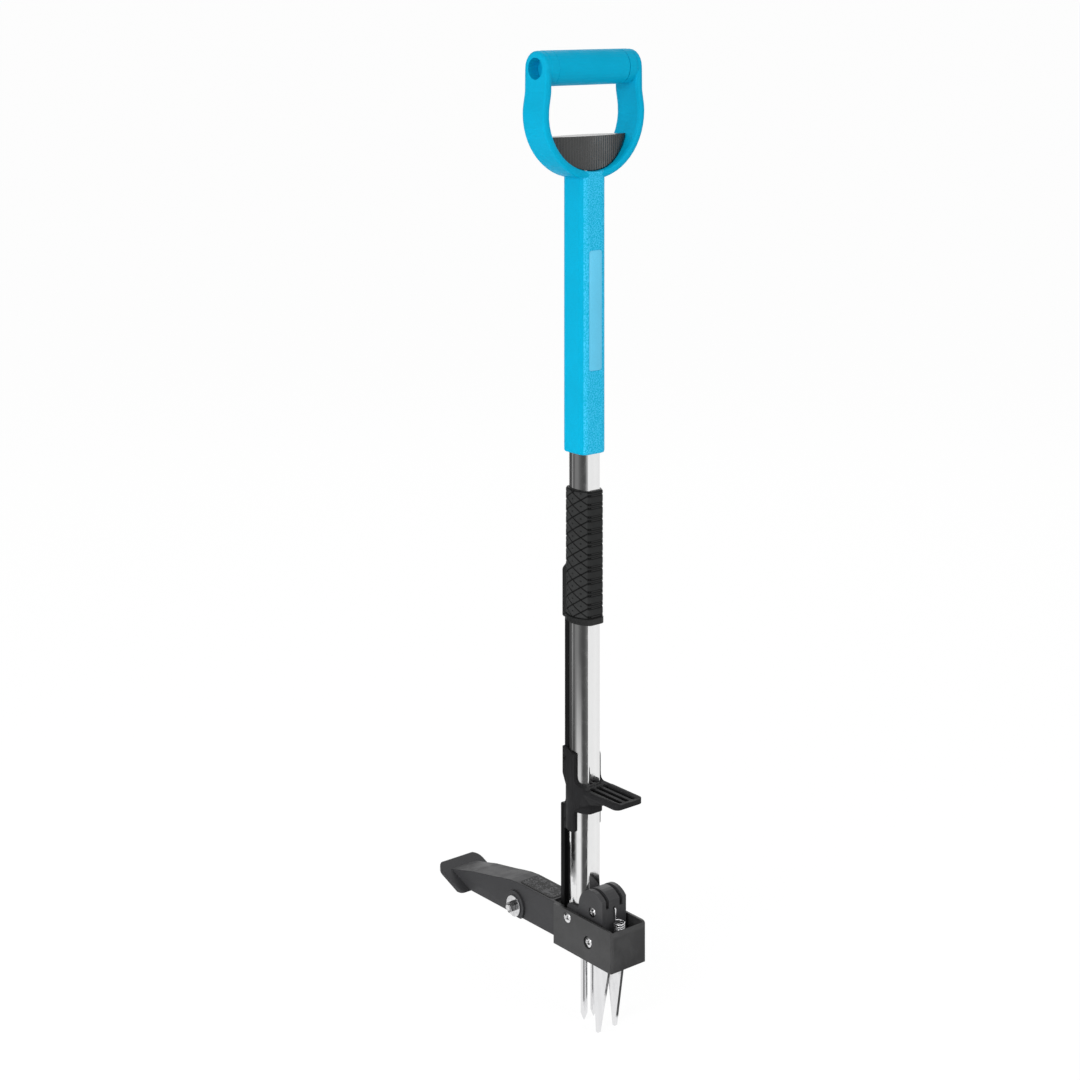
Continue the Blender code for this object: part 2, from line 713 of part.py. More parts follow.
def move_origin(obj, point):
    """Puts the object's origin at a point without moving its shape."""
    shift = Vector(point) - obj.location
    obj.data.transform(Matrix.Translation(-shift))
    obj.location = point


# Base: housing, foot lever, bolts and return spring

def build_housing(base, dark, steel):
    plan = rounded([
        (HOUSING_REAR, -HOUSING_HALF_WIDTH, 0.0),
        (HOUSING_FRONT, -HOUSING_HALF_WIDTH, HOUSING_EDGE_RADIUS),
        (HOUSING_FRONT, HOUSING_HALF_WIDTH, HOUSING_EDGE_RADIUS),
        (HOUSING_REAR, HOUSING_HALF_WIDTH, 0.0),
    ])
    inside = HOUSING_HALF_WIDTH - HOUSING_WALL
    inner_front = HOUSING_FRONT - HOUSING_WALL
    inner_plan = rounded([
        (HOUSING_REAR - 10 * MM, -inside, 0.0),
        (inner_front, -inside, 0.8 * MM),
        (inner_front, inside, 0.8 * MM),
        (HOUSING_REAR - 10 * MM, inside, 0.0),
    ])
    side = rounded([
        (HOUSING_REAR - 5 * MM, HOUSING_BOTTOM, 0.0),
        (HOUSING_FRONT, HOUSING_BOTTOM, 2 * MM),
        (HOUSING_FRONT, HOUSING_TOP, HOUSING_LIP_RADIUS),
        (HOUSING_REAR - 5 * MM, HOUSING_TOP, 0.0),
    ], 6)
    housing = prism("base_housing", [plan], "XY", HOUSING_BOTTOM, HOUSING_TOP)
    keep(housing, prism("housing_side", [side], "XZ", -HOUSING_HALF_WIDTH - 5 * MM, HOUSING_HALF_WIDTH + 5 * MM))
    floor_top = HOUSING_BOTTOM + HOUSING_FLOOR
    cut(housing, prism("housing_inside", [inner_plan], "XY", floor_top, HOUSING_TOP + 10 * MM))
    tab_half = TAB_THICKNESS / 2
    tab = prism(
        "spring_tab",
        [rounded([
            (SPRING_X - TAB_HALF_LENGTH, HOUSING_BOTTOM + 0.5 * MM, 0.0),
            (SPRING_X + TAB_HALF_LENGTH, HOUSING_BOTTOM + 0.5 * MM, 0.0),
            (SPRING_X + TAB_HALF_LENGTH, TAB_TOP, 3.5 * MM),
            (SPRING_X - TAB_HALF_LENGTH, TAB_TOP, 3.5 * MM),
        ])],
        "XZ", -tab_half, tab_half,
    )
    fuse(housing, tab)
    opening = rounded([
        (HOUSING_REAR - 10 * MM, -FLOOR_OPENING_HALF, 0.0),
        (FLOOR_OPENING_FRONT, -FLOOR_OPENING_HALF, 2 * MM),
        (FLOOR_OPENING_FRONT, -TONGUE_HALF_WIDTH, 1 * MM),
        (TONGUE_REAR, -TONGUE_HALF_WIDTH, 1 * MM),
        (TONGUE_REAR, TONGUE_HALF_WIDTH, 1 * MM),
        (FLOOR_OPENING_FRONT, TONGUE_HALF_WIDTH, 1 * MM),
        (FLOOR_OPENING_FRONT, FLOOR_OPENING_HALF, 2 * MM),
        (HOUSING_REAR - 10 * MM, FLOOR_OPENING_HALF, 0.0),
    ], 3)
    cut(
        housing,
        prism("floor_opening", [opening], "XY", HOUSING_BOTTOM - 5 * MM, floor_top + 0.2 * MM),
        across("spring_eye", TAB_EYE_RADIUS, SPRING_X, TAB_EYE_Z, 5 * MM, 20),
        across("housing_pivot_hole", BOLT_HEAD_RADIUS + SEAT_GAP, 0.0, PIVOT_Z, 40 * MM),
        across("housing_guide_hole", GUIDE_HOLE_RADIUS, GUIDE_X, GUIDE_Z, 40 * MM),
    )
    seat(housing, base, dark)
    ear_outer = HOUSING_HALF_WIDTH - HOUSING_WALL - SEAT_GAP
    pivot = bolt_shape(
        "pivot_bolt", 0.0, PIVOT_Z, PIVOT_BOLT_RADIUS, BOLT_HEAD_RADIUS,
        ear_outer + SEAT_GAP, HOUSING_HALF_WIDTH + 0.2 * MM,
    )
    seat(pivot, base, steel)
    guide = bolt_shape(
        "guide_bolt", GUIDE_X, GUIDE_Z, GUIDE_BOLT_RADIUS, BOLT_HEAD_RADIUS,
        ear_outer + SEAT_GAP, HOUSING_HALF_WIDTH - 0.6 * MM,
    )
    seat(guide, base, steel)


def widen_heel(obj):
    """Spreads the lever's sides from its crease to its heel."""
    end = -HEEL_REAR + 12 * MM
    for vertex in obj.data.vertices:
        share = max(0.0, min(1.0, (ARM_CREASE - vertex.co.x) / (ARM_CREASE - end)))
        vertex.co.y *= 1 + (ARM_HEEL_HALF_WIDTH / ARM_HALF_WIDTH - 1) * share
    return obj


def heel_top(x):
    """Height of the rocker plate's upper face."""
    return HEEL_REAR_TOP - (x + HEEL_REAR) * math.tan(HEEL_SLOPE)


def build_lever(base, dark, pad_color, steel):
    seam = 1.0 * MM
    heel_end = -HEEL_REAR + 11 * MM
    crown = [
        (heel_end, heel_top(heel_end) - seam),
        (-188.4 * MM, 91.8 * MM),
        (-166.8 * MM, 97.3 * MM),
        (-131.6 * MM, 103.7 * MM),
        (-117.8 * MM, 106.6 * MM),
        (-104.0 * MM, 109.1 * MM),
        (ARM_CREASE, ARM_TOP),
    ]
    top_run = crown + [(EAR_REAR + 3 * MM, ARM_TOP)]
    underside = [
        (EAR_REAR + 3 * MM, ARM_BOTTOM),
        (-HEEL_FRONT - 4 * MM, ARM_BOTTOM),
        (-HEEL_FRONT - 4 * MM, heel_top(-HEEL_FRONT - 4 * MM) - seam),
    ]
    arm = prism("pedal_arm", [top_run + underside], "XZ", -ARM_HALF_WIDTH, ARM_HALF_WIDTH)
    widen_heel(arm)
    round_edges(arm, 1.4 * MM, 1, 50)

    inner = ARM_HALF_WIDTH - ARM_WALL
    hollow = prism(
        "lever_hollow",
        [
            [(EAR_REAR + 10 * MM, ARM_BOTTOM - 10 * MM), (EAR_REAR + 10 * MM, ARM_TOP + 20 * MM),
             (ARM_OPEN_FRONT, ARM_TOP + 20 * MM), (ARM_OPEN_FRONT, ARM_TOP - ARM_WALL)]
            + [(x, z - ARM_WALL) for x, z in reversed(crown) if x > -170 * MM]
            + [(-166.8 * MM, ARM_BOTTOM - 10 * MM)]
        ],
        "XZ", -inner, inner,
    )
    cut(arm, hollow)

    ear_outer = HOUSING_HALF_WIDTH - HOUSING_WALL - SEAT_GAP
    ear_inner = ear_outer - EAR_THICKNESS
    ear = rounded([
        (EAR_REAR, 79.0 * MM, 2 * MM),
        (GUIDE_X + EAR_RADIUS, GUIDE_Z - EAR_RADIUS, EAR_RADIUS - 0.5 * MM),
        (GUIDE_X + EAR_RADIUS, GUIDE_Z + 5 * MM, 6 * MM),
        (7 * MM, PIVOT_Z + 7 * MM, 6 * MM),
        (EAR_REAR, PIVOT_Z + 4 * MM, 2 * MM),
    ])
    joggle = rectangle(EAR_REAR, EAR_REAR + 3.4 * MM, 80.0 * MM, PIVOT_Z + 2.5 * MM, 1 * MM, 2)
    for side, name in ((-1, "near"), (1, "far")):
        faces = sorted((side * ear_inner, side * ear_outer))
        fuse(arm, prism("ear_" + name, [ear], "XZ", *faces))
        faces = sorted((side * inner, side * (ear_outer - 0.5 * MM)))
        fuse(arm, prism("joggle_" + name, [joggle], "XZ", *faces))
    boss_face = ARM_HALF_WIDTH + BOSS_HEIGHT
    for side, name in ((-1, "near"), (1, "far")):
        boss = arc(BOSS_X, BOSS_Z, BOSS_RADIUS, -46, 226, 18)
        faces = sorted((side * (inner + 0.5 * MM), side * boss_face))
        fuse(arm, prism("boss_" + name, [boss], "XZ", *faces))

    plate = [
        (-HEEL_REAR, HEEL_REAR_TOP),
        (-HEEL_REAR - HEEL_THICKNESS * math.sin(HEEL_SLOPE), HEEL_REAR_TOP - HEEL_THICKNESS * math.cos(HEEL_SLOPE)),
        (-HEEL_FRONT - 9 * MM, heel_top(-HEEL_FRONT - 9 * MM) - HEEL_THICKNESS / math.cos(HEEL_SLOPE)),
        (-HEEL_FRONT, heel_top(-HEEL_FRONT) - 1.6 * MM),
        (-HEEL_FRONT - 0.5 * MM, heel_top(-HEEL_FRONT - 0.5 * MM)),
    ]
    heel = prism("heel_plate", [plate], "XZ", -HEEL_HALF_WIDTH, HEEL_HALF_WIDTH)
    heel_plan = rounded([
        (-HEEL_REAR - HEEL_OVERHANG, -HEEL_HALF_WIDTH, HEEL_CORNER),
        (-HEEL_FRONT, -HEEL_HALF_WIDTH, 5 * MM),
        (-HEEL_FRONT, HEEL_HALF_WIDTH, 5 * MM),
        (-HEEL_REAR - HEEL_OVERHANG, HEEL_HALF_WIDTH, HEEL_CORNER),
    ], 6)
    keep(heel, prism("heel_plan", [heel_plan], "XY", HOUSING_BOTTOM - 20 * MM, ARM_TOP))
    round_edges(heel, 0.8 * MM, 1, 60)
    fuse(arm, heel)

    cut(
        arm,
        prism(
            "pad_pocket",
            [rectangle(
                PAD_REAR - SEAT_GAP, PAD_FRONT + SEAT_GAP,
                -PAD_HALF_WIDTH - SEAT_GAP, PAD_HALF_WIDTH + SEAT_GAP, PAD_CORNER,
            )],
            "XY", ARM_TOP + PAD_PROUD - PAD_THICKNESS - SEAT_GAP, ARM_TOP + 10 * MM,
        ),
        across("lever_pivot_hole", PIVOT_BOLT_RADIUS + SEAT_GAP, 0.0, PIVOT_Z, 40 * MM),
        across("lever_guide_hole", GUIDE_BOLT_RADIUS + SEAT_GAP, GUIDE_X, GUIDE_Z, 40 * MM),
        across("lever_bolt_hole", ARM_BOLT_RADIUS + SEAT_GAP, BOSS_X, BOSS_Z, 40 * MM),
    )
    seat(arm, base, dark)

    pad = prism(
        "tread_pad",
        [rectangle(PAD_REAR, PAD_FRONT, -PAD_HALF_WIDTH, PAD_HALF_WIDTH, PAD_CORNER)],
        "XY", ARM_TOP + PAD_PROUD - PAD_THICKNESS, ARM_TOP + PAD_PROUD,
    )
    seat(pad, base, pad_color)

    washer_inner = boss_face + SEAT_GAP
    washer_outer = washer_inner + WASHER_THICKNESS
    for side, name in ((-1, "near"), (1, "far")):
        washer = turned(
            "arm_washer_" + name,
            [
                (ARM_BOLT_RADIUS + SEAT_GAP, washer_outer), (WASHER_RADIUS - 0.4 * MM, washer_outer),
                (WASHER_RADIUS, washer_outer - 0.4 * MM), (WASHER_RADIUS, washer_inner),
                (ARM_BOLT_RADIUS + SEAT_GAP, washer_inner), (ARM_BOLT_RADIUS + SEAT_GAP, washer_outer),
            ],
            (BOSS_X, 0.0, BOSS_Z), (0, side, 0),
        )
        seat(washer, base, steel)
    hexagon = NUT_ACROSS / math.sqrt(3)
    nut_inner = washer_outer + SEAT_GAP
    nut = cylinder(
        "arm_nut", hexagon, (BOSS_X, -nut_inner, BOSS_Z), (BOSS_X, -nut_inner - NUT_THICKNESS, BOSS_Z), 6
    )
    cut(nut, across("nut_bore", ARM_BOLT_RADIUS + SEAT_GAP, BOSS_X, BOSS_Z, 40 * MM))
    seat(nut, base, steel)
    bolt = cylinder("arm_bolt", ARM_BOLT_RADIUS, (BOSS_X, -ARM_BOLT_END, BOSS_Z), (BOSS_X, nut_inner + 1 * MM, BOSS_Z))
    fuse(
        bolt,
        cylinder("bolt_head", hexagon, (BOSS_X, nut_inner, BOSS_Z), (BOSS_X, nut_inner + 4 * MM, BOSS_Z), 6),
    )
    seat(bolt, base, steel)


def spring_route():
    """The spring's wire in one run: the eye hook, the coil and the hook into the carrier."""
    radius = SPRING_MEAN_RADIUS
    bend = 1.2 * MM
    start = -90.0
    total = 360.0 * SPRING_CURLS - 90.0
    top = SPRING_BOTTOM + SPRING_PITCH * total / 360
    points = [
        Vector((SPRING_X, 4.5 * MM, TAB_EYE_Z)),
        Vector((SPRING_X, bend - radius, TAB_EYE_Z)),
        Vector((SPRING_X, 0.3 * bend - radius, TAB_EYE_Z + 0.3 * bend)),
        Vector((SPRING_X, -radius, TAB_EYE_Z + bend)),
        Vector((SPRING_X, -radius, SPRING_BOTTOM - bend)),
    ]
    steps = round(SPRING_POINTS * total / 360)
    for step in range(steps + 1):
        angle = math.radians(start + total * step / steps)
        height = SPRING_BOTTOM + SPRING_PITCH * total / 360 * step / steps
        points.append(Vector((SPRING_X + radius * math.cos(angle), radius * math.sin(angle), height)))
    hook_x = SPRING_X - radius
    points += [
        Vector((hook_x, 0.0, top + bend)),
        Vector((hook_x, 0.0, HOOK_HOLE_Z - bend)),
        Vector((hook_x - 0.3 * bend, 0.0, HOOK_HOLE_Z - 0.3 * bend)),
        Vector((hook_x - bend, 0.0, HOOK_HOLE_Z)),
        Vector((CARRIER_FRONT - HOOK_HOLE_DEPTH + 1.0 * MM, 0.0, HOOK_HOLE_Z)),
    ]
    return points


def build_spring(base, steel):
    route = spring_route()
    curve = bpy.data.curves.new("return_spring", "CURVE")
    curve.dimensions = "3D"
    curve.bevel_depth = SPRING_WIRE / 2
    curve.bevel_resolution = 1
    curve.use_fill_caps = True
    spline = curve.splines.new("POLY")
    spline.points.add(len(route) - 1)
    for point, place in zip(spline.points, route):
        point.co = (*place, 1.0)
    spring = bpy.data.objects.new("return_spring", curve)
    parts.objects.link(spring)
    spring.parent = base
    spring.location = -Vector(base["tool_origin"])
    curve.materials.append(steel)
    weld = spring.modifiers.new("Weld", "WELD")
    weld.merge_threshold = 0.00001
    reach = int(0.6 * SPRING_POINTS)
    gap = min(
        (route[i] - route[j]).length for i in range(len(route)) for j in range(i + reach, len(route))
    )
    print("return_spring least gap to itself: %.2f mm" % ((gap - SPRING_WIRE) / MM))


# Ejector

def build_ejector(ejector, dark, rubber, bar_color, steel):
    wall = SLIDE_GAP + SLEEVE_WALL
    sleeve = barrel_prism("eject_sleeve", wall, SLEEVE_BOTTOM, SLEEVE_TOP)
    flange = barrel_prism("sleeve_flange", wall + SLEEVE_FLANGE_WALL, SLEEVE_BOTTOM, SLEEVE_BOTTOM + SLEEVE_FLANGE)
    spine = prism(
        "sleeve_spine",
        [[(-TUBE_DEPTH / 4, SLEEVE_BOTTOM), (SPINE_REAR, SLEEVE_BOTTOM), (SPINE_REAR, SPINE_SHOULDER),
          (-TUBE_DEPTH / 2 - wall + 0.5 * MM, SPINE_TOP), (-TUBE_DEPTH / 4, SPINE_TOP)]],
        "XZ", -SPINE_HALF_WIDTH, SPINE_HALF_WIDTH,
    )
    round_edges(spine, 1.5 * MM, 1, 40)
    round_edges(sleeve, 0.8 * MM, 1, 60)
    fuse(sleeve, flange, spine)
    cut(
        sleeve,
        barrel_prism("sleeve_tube_way", SLIDE_GAP, SLEEVE_BOTTOM - 10 * MM, SLEEVE_TOP + 10 * MM),
        box(
            "sleeve_bar_socket",
            (UPPER_BAR_REAR - SEAT_GAP, -UPPER_BAR_HALF_WIDTH - SEAT_GAP, SLEEVE_BOTTOM - 10 * MM),
            (-TUBE_DEPTH / 4, UPPER_BAR_HALF_WIDTH + SEAT_GAP, UPPER_BAR_TOP + SEAT_GAP),
        ),
    )
    seat(sleeve, ejector, rubber)

    upper = box(
        "upper_bar",
        (UPPER_BAR_REAR, -UPPER_BAR_HALF_WIDTH, UPPER_BAR_BOTTOM),
        (BAR_FRONT, UPPER_BAR_HALF_WIDTH, UPPER_BAR_TOP),
    )
    round_edges(upper, 0.8 * MM, 1)
    upper_rivet_x = UPPER_BAR_REAR + 1.2 * RIVET_RADIUS
    upper_rivet_z = (UPPER_BAR_BOTTOM + SOCKET_TOP) / 2
    cut(upper, across("upper_rivet_hole", RIVET_RADIUS + SEAT_GAP, upper_rivet_x, upper_rivet_z, 20 * MM))
    seat(upper, ejector, bar_color)

    lower = box(
        "lower_bar",
        (LOWER_FLANGE_REAR, -LOWER_FLANGE_HALF_WIDTH, LOWER_BAR_BOTTOM),
        (LOWER_FLANGE_FRONT, LOWER_FLANGE_HALF_WIDTH, LOWER_BAR_TOP),
    )
    round_edges(lower, 0.8 * MM, 1)
    fuse(
        lower,
        box(
            "lower_web",
            (LOWER_FLANGE_FRONT - 1 * MM, -LOWER_WEB_HALF_WIDTH, LOWER_BAR_BOTTOM),
            (BAR_FRONT, LOWER_WEB_HALF_WIDTH, LOWER_WEB_TOP),
        ),
    )
    lower_rivet_x = (LOWER_FLANGE_FRONT + BAR_FRONT) / 2
    lower_rivet_z = (TAIL_BOTTOM + LOWER_WEB_TOP) / 2
    plate_rivet_top = LOWER_BAR_BOTTOM + 14 * MM
    cut(
        lower,
        across("lower_rivet_hole", RIVET_RADIUS + SEAT_GAP, lower_rivet_x, lower_rivet_z, 20 * MM),
        cylinder(
            "plate_rivet_way", RIVET_RADIUS - 0.4 * MM + SEAT_GAP,
            (lower_rivet_x, 0, LOWER_BAR_BOTTOM - 5 * MM), (lower_rivet_x, 0, plate_rivet_top + SEAT_GAP), 24,
        ),
    )
    seat(lower, ejector, bar_color)

    head_rear = TINE_X + TINE_RADIUS + 0.8 * MM
    head = PLATE_HEAD_HALF_WIDTH
    tongue = PLATE_TONGUE_HALF_WIDTH
    tail = LOWER_FLANGE_HALF_WIDTH
    tail_front = TINE_X - TINE_RADIUS - 4 * MM
    plan = rounded([
        (LOWER_FLANGE_REAR, -tail, 2 * MM), (tail_front - 6 * MM, -tail, 2 * MM),
        (tail_front, -tongue, 1 * MM), (head_rear, -tongue, 0.5 * MM),
        (head_rear, -head, 0.8 * MM), (PLATE_FRONT, -head, 2 * MM),
        (PLATE_FRONT, head, 2 * MM), (head_rear, head, 0.8 * MM),
        (head_rear, tongue, 0.5 * MM), (tail_front, tongue, 1 * MM),
        (tail_front - 6 * MM, tail, 2 * MM), (LOWER_FLANGE_REAR, tail, 2 * MM),
    ], 3)
    plate = prism("ejector_plate", [plan], "XY", PLATE_BOTTOM, PLATE_BOTTOM + PLATE_THICKNESS)
    cut(
        plate,
        cylinder(
            "plate_rivet_hole", RIVET_RADIUS - 0.4 * MM + SEAT_GAP,
            (lower_rivet_x, 0, PLATE_BOTTOM - 5 * MM), (lower_rivet_x, 0, LOWER_BAR_BOTTOM + 5 * MM), 24,
        ),
    )
    seat(plate, ejector, steel)
    shank = RIVET_RADIUS - 0.4 * MM
    plate_rivet = turned(
        "plate_rivet",
        [
            (0.0, plate_rivet_top), (shank, plate_rivet_top), (shank, PLATE_BOTTOM - SEAT_GAP),
            (2 * shank, PLATE_BOTTOM - SEAT_GAP), (1.6 * shank, PLATE_BOTTOM - 1.3 * MM),
            (0.0, PLATE_BOTTOM - 1.6 * MM),
        ],
        (lower_rivet_x, 0.0, 0.0), steps=24,
    )
    seat(plate_rivet, ejector, steel)

    build_step(ejector, dark, lower_rivet_x, lower_rivet_z, upper_rivet_x, upper_rivet_z)
    rivet_half = SOCKET_HALF_WIDTH + 0.5 * MM
    seat(across("lower_bar_rivet", RIVET_RADIUS, lower_rivet_x, lower_rivet_z, rivet_half, 24), ejector, steel)
    seat(across("upper_bar_rivet", RIVET_RADIUS, upper_rivet_x, upper_rivet_z, rivet_half, 24), ejector, steel)


def build_step(ejector, dark, lower_rivet_x, lower_rivet_z, upper_rivet_x, upper_rivet_z):
    """The moulded foot step: a saddle round the tube's rear, side webs and a ribbed tread."""
    skin = SLIDE_GAP + STEP_WALL
    half = TUBE_WIDTH / 2 + skin
    rear = -TUBE_DEPTH / 2 - skin
    web_bottom = STEP_TOP - STEP_TIP_THICKNESS - 2.2 * MM
    cheeks = rounded([
        (rear - 5 * MM, TAIL_BOTTOM + 3 * MM, 0.0),
        (0.6 * MM, TAIL_BOTTOM + 3.4 * MM, 3 * MM),
        (6.9 * MM, TAIL_BOTTOM + 8 * MM, 3 * MM),
        (6.9 * MM, TAIL_BOTTOM + 25 * MM, 8 * MM),
        (27.7 * MM, STEP_TOP - 12.1 * MM, 16 * MM),
        (50.0 * MM, web_bottom + 1.2 * MM, 3 * MM),
        (50.0 * MM, STEP_TOP - 1 * MM, 0.0),
        (24.0 * MM, STEP_TOP - 0.2 * MM, 0.0),
        (14.0 * MM, STEP_COLLAR_TOP, 8 * MM),
        (7.4 * MM, STEP_COLLAR_TOP + 3 * MM, 3 * MM),
        (7.0 * MM, SOCKET_TOP - 2 * MM, 5 * MM),
        (-2.6 * MM, SOCKET_TOP, 2 * MM),
        (rear - 5 * MM, SOCKET_TOP - 1 * MM, 0.0),
    ])
    step = prism("foot_step", [cheeks], "XZ", -half - 5 * MM, half + 5 * MM)
    # The saddle's rear follows the tube's own section
    keep(step, saddle_prism(skin, half))
    tread = prism(
        "step_tread",
        [rounded([
            (TUBE_DEPTH / 2 - 1 * MM, -half, 0.0), (24 * MM, -STEP_HALF_WIDTH, 6 * MM),
            (STEP_FRONT, -STEP_HALF_WIDTH, STEP_CORNER), (STEP_FRONT, STEP_HALF_WIDTH, STEP_CORNER),
            (24 * MM, STEP_HALF_WIDTH, 6 * MM), (TUBE_DEPTH / 2 - 1 * MM, half, 0.0),
        ], 5)],
        "XY", STEP_TOP - STEP_TIP_THICKNESS, STEP_TOP,
    )
    round_edges(tread, 1.0 * MM, 1, 50)
    collar = barrel_prism("step_collar", skin, STEP_COLLAR_BOTTOM - 3 * MM, STEP_COLLAR_TOP)
    round_edges(collar, 1.2 * MM, 1, 60)
    hollow = box(
        "step_hollow",
        (TUBE_DEPTH / 2 + 1 * MM, -half + STEP_WALL, TAIL_BOTTOM - 5 * MM),
        (48 * MM, half - STEP_WALL, STEP_TOP - STEP_TIP_THICKNESS + 1 * MM),
    )
    cut(step, hollow)
    fuse(step, tread, collar)
    upper_socket = prism(
        "upper_socket",
        [rounded([
            (-TUBE_DEPTH / 4, SOCKET_BOTTOM - 8 * MM, 0.0), (rear + 0.5 * MM, SOCKET_BOTTOM - 8 * MM, 2 * MM),
            (SOCKET_REAR, SOCKET_BOTTOM + 4 * MM, 3 * MM), (SOCKET_REAR, SOCKET_TOP, 1 * MM),
            (-TUBE_DEPTH / 4, SOCKET_TOP, 0.0),
        ])],
        "XZ", -SOCKET_HALF_WIDTH, SOCKET_HALF_WIDTH,
    )
    lower_socket = prism(
        "lower_socket",
        [rounded([
            (-TUBE_DEPTH / 4, TAIL_BOTTOM, 0.0), (LOWER_FLANGE_FRONT + SEAT_GAP, TAIL_BOTTOM, 0.8 * MM),
            (LOWER_FLANGE_FRONT + SEAT_GAP, LOWER_BAR_TOP - 2 * MM, 2 * MM),
            (rear + 0.5 * MM, LOWER_BAR_TOP + 8 * MM, 2 * MM), (-TUBE_DEPTH / 4, LOWER_BAR_TOP + 8 * MM, 0.0),
        ])],
        "XZ", -SOCKET_HALF_WIDTH, SOCKET_HALF_WIDTH,
    )
    fuse(step, upper_socket, lower_socket)
    cut(
        step,
        barrel_prism("step_tube_way", SLIDE_GAP, TAIL_BOTTOM - 10 * MM, SOCKET_TOP + 10 * MM),
        box(
            "upper_bar_seat",
            (UPPER_BAR_REAR - SEAT_GAP, -UPPER_BAR_HALF_WIDTH - SEAT_GAP, UPPER_BAR_BOTTOM - SEAT_GAP),
            (-TUBE_DEPTH / 4, UPPER_BAR_HALF_WIDTH + SEAT_GAP, SOCKET_TOP + 10 * MM),
        ),
        box(
            "lower_web_seat",
            (LOWER_FLANGE_FRONT - 5 * MM, -LOWER_WEB_HALF_WIDTH - SEAT_GAP, TAIL_BOTTOM - 10 * MM),
            (-TUBE_DEPTH / 4, LOWER_WEB_HALF_WIDTH + SEAT_GAP, LOWER_WEB_TOP + SEAT_GAP),
        ),
        across("step_lower_rivet_hole", RIVET_RADIUS + SEAT_GAP, lower_rivet_x, lower_rivet_z, 20 * MM),
        across("step_upper_rivet_hole", RIVET_RADIUS + SEAT_GAP, upper_rivet_x, upper_rivet_z, 20 * MM),
    )
    for index in range(STEP_GROOVES):
        middle = (index - (STEP_GROOVES - 1) / 2) * STEP_GROOVE_PITCH
        low = middle - STEP_GROOVE_WIDTH / 2
        groove = rectangle(
            TUBE_DEPTH / 2 + skin + 3 * MM, STEP_FRONT - 6 * MM, low, low + STEP_GROOVE_WIDTH, 1.5 * MM, 3
        )
        cut(
            step,
            prism("step_groove_%d" % index, [groove], "XY", STEP_TOP - STEP_GROOVE_DEPTH, STEP_TOP + 20 * MM),
        )
    seat(step, ejector, dark)


def saddle_prism(skin, half):
    """Plan of the saddle: the tube's section grown by its wall at the rear, straight cheeks ahead of it."""
    grown = barrel(skin, 3, 10)
    rear_half = [point for point in grown if point[0] <= 0.0]
    rear_half.sort(key=lambda point: -point[1])
    outline = [(60 * MM, half)] + rear_half + [(60 * MM, -half)]
    return prism("saddle_plan", [outline], "XY", TAIL_BOTTOM - 10 * MM, SOCKET_TOP + 10 * MM)


# Handle

def bowl_section():
    """The D without its grip: an open U, drawn in the YZ plane."""
    outer = arc(0, BOWL_Z, BOWL_OUTER, 0, -180, 28)
    inner = arc(0, BOWL_Z, BOWL_INNER, -176, -4, 24)
    right = [(HANDLE_OUTER, GRIP_Z)] + blend_out(HANDLE_OUTER, BOWL_OUTER)
    left = [(-y, z) for y, z in reversed(right)]
    inner_right = [(HANDLE_INNER, GRIP_Z)] + blend_out(HANDLE_INNER, inner[-1][0])
    inner_left = [(-y, z) for y, z in reversed(inner_right)]
    return right + outer + left + list(reversed(inner_left)) + inner + list(reversed(inner_right))


def blend_out(narrow, wide, steps=5):
    """An arm's edge as it swells from its upper width to the bowl's, in a smooth step."""
    points = []
    for step in range(1, steps + 1):
        share = step / (steps + 1)
        smooth = share * share * (3 - 2 * share)
        points.append((narrow + (wide - narrow) * smooth, HANDLE_SWELL_TOP - (HANDLE_SWELL_TOP - BOWL_Z) * share))
    return points


def button_plan(grow, ribbed):
    """A lens seen from above, with or without the ribs on its two long sides."""
    half_length = math.sqrt(BUTTON_RADIUS**2 - (BOWL_Z - BUTTON_TOP) ** 2)
    bow = BUTTON_HALF_DEPTH - BUTTON_END_DEPTH
    lens = (half_length**2 + bow**2) / (2 * bow)
    count = 4 * BUTTON_RIBS if ribbed else 16
    side = []
    for step in range(count + 1):
        y = half_length * (2 * step / count - 1)
        depth = BUTTON_HALF_DEPTH - lens + math.sqrt(lens**2 - y**2)
        if ribbed:
            wave = (1 - math.cos(2 * math.pi * step / 4)) / 2
            depth -= BUTTON_RIB_DEPTH * wave
        side.append((depth + grow, y * (1 + grow / half_length)))
    return side + [(-x, y) for x, y in reversed(side)]


def button_face(grow, drop):
    """The half moon of the button, seen from the front."""
    half_angle = math.degrees(math.acos((BOWL_Z - BUTTON_TOP) / BUTTON_RADIUS))
    top = BUTTON_TOP + (30 * MM if drop else 0.0)
    moon = arc(0, BOWL_Z - drop, BUTTON_RADIUS + grow, -90 - half_angle, -90 + half_angle, 22)
    return [(moon[0][0], top)] * bool(drop) + moon + [(moon[-1][0], top)] * bool(drop)


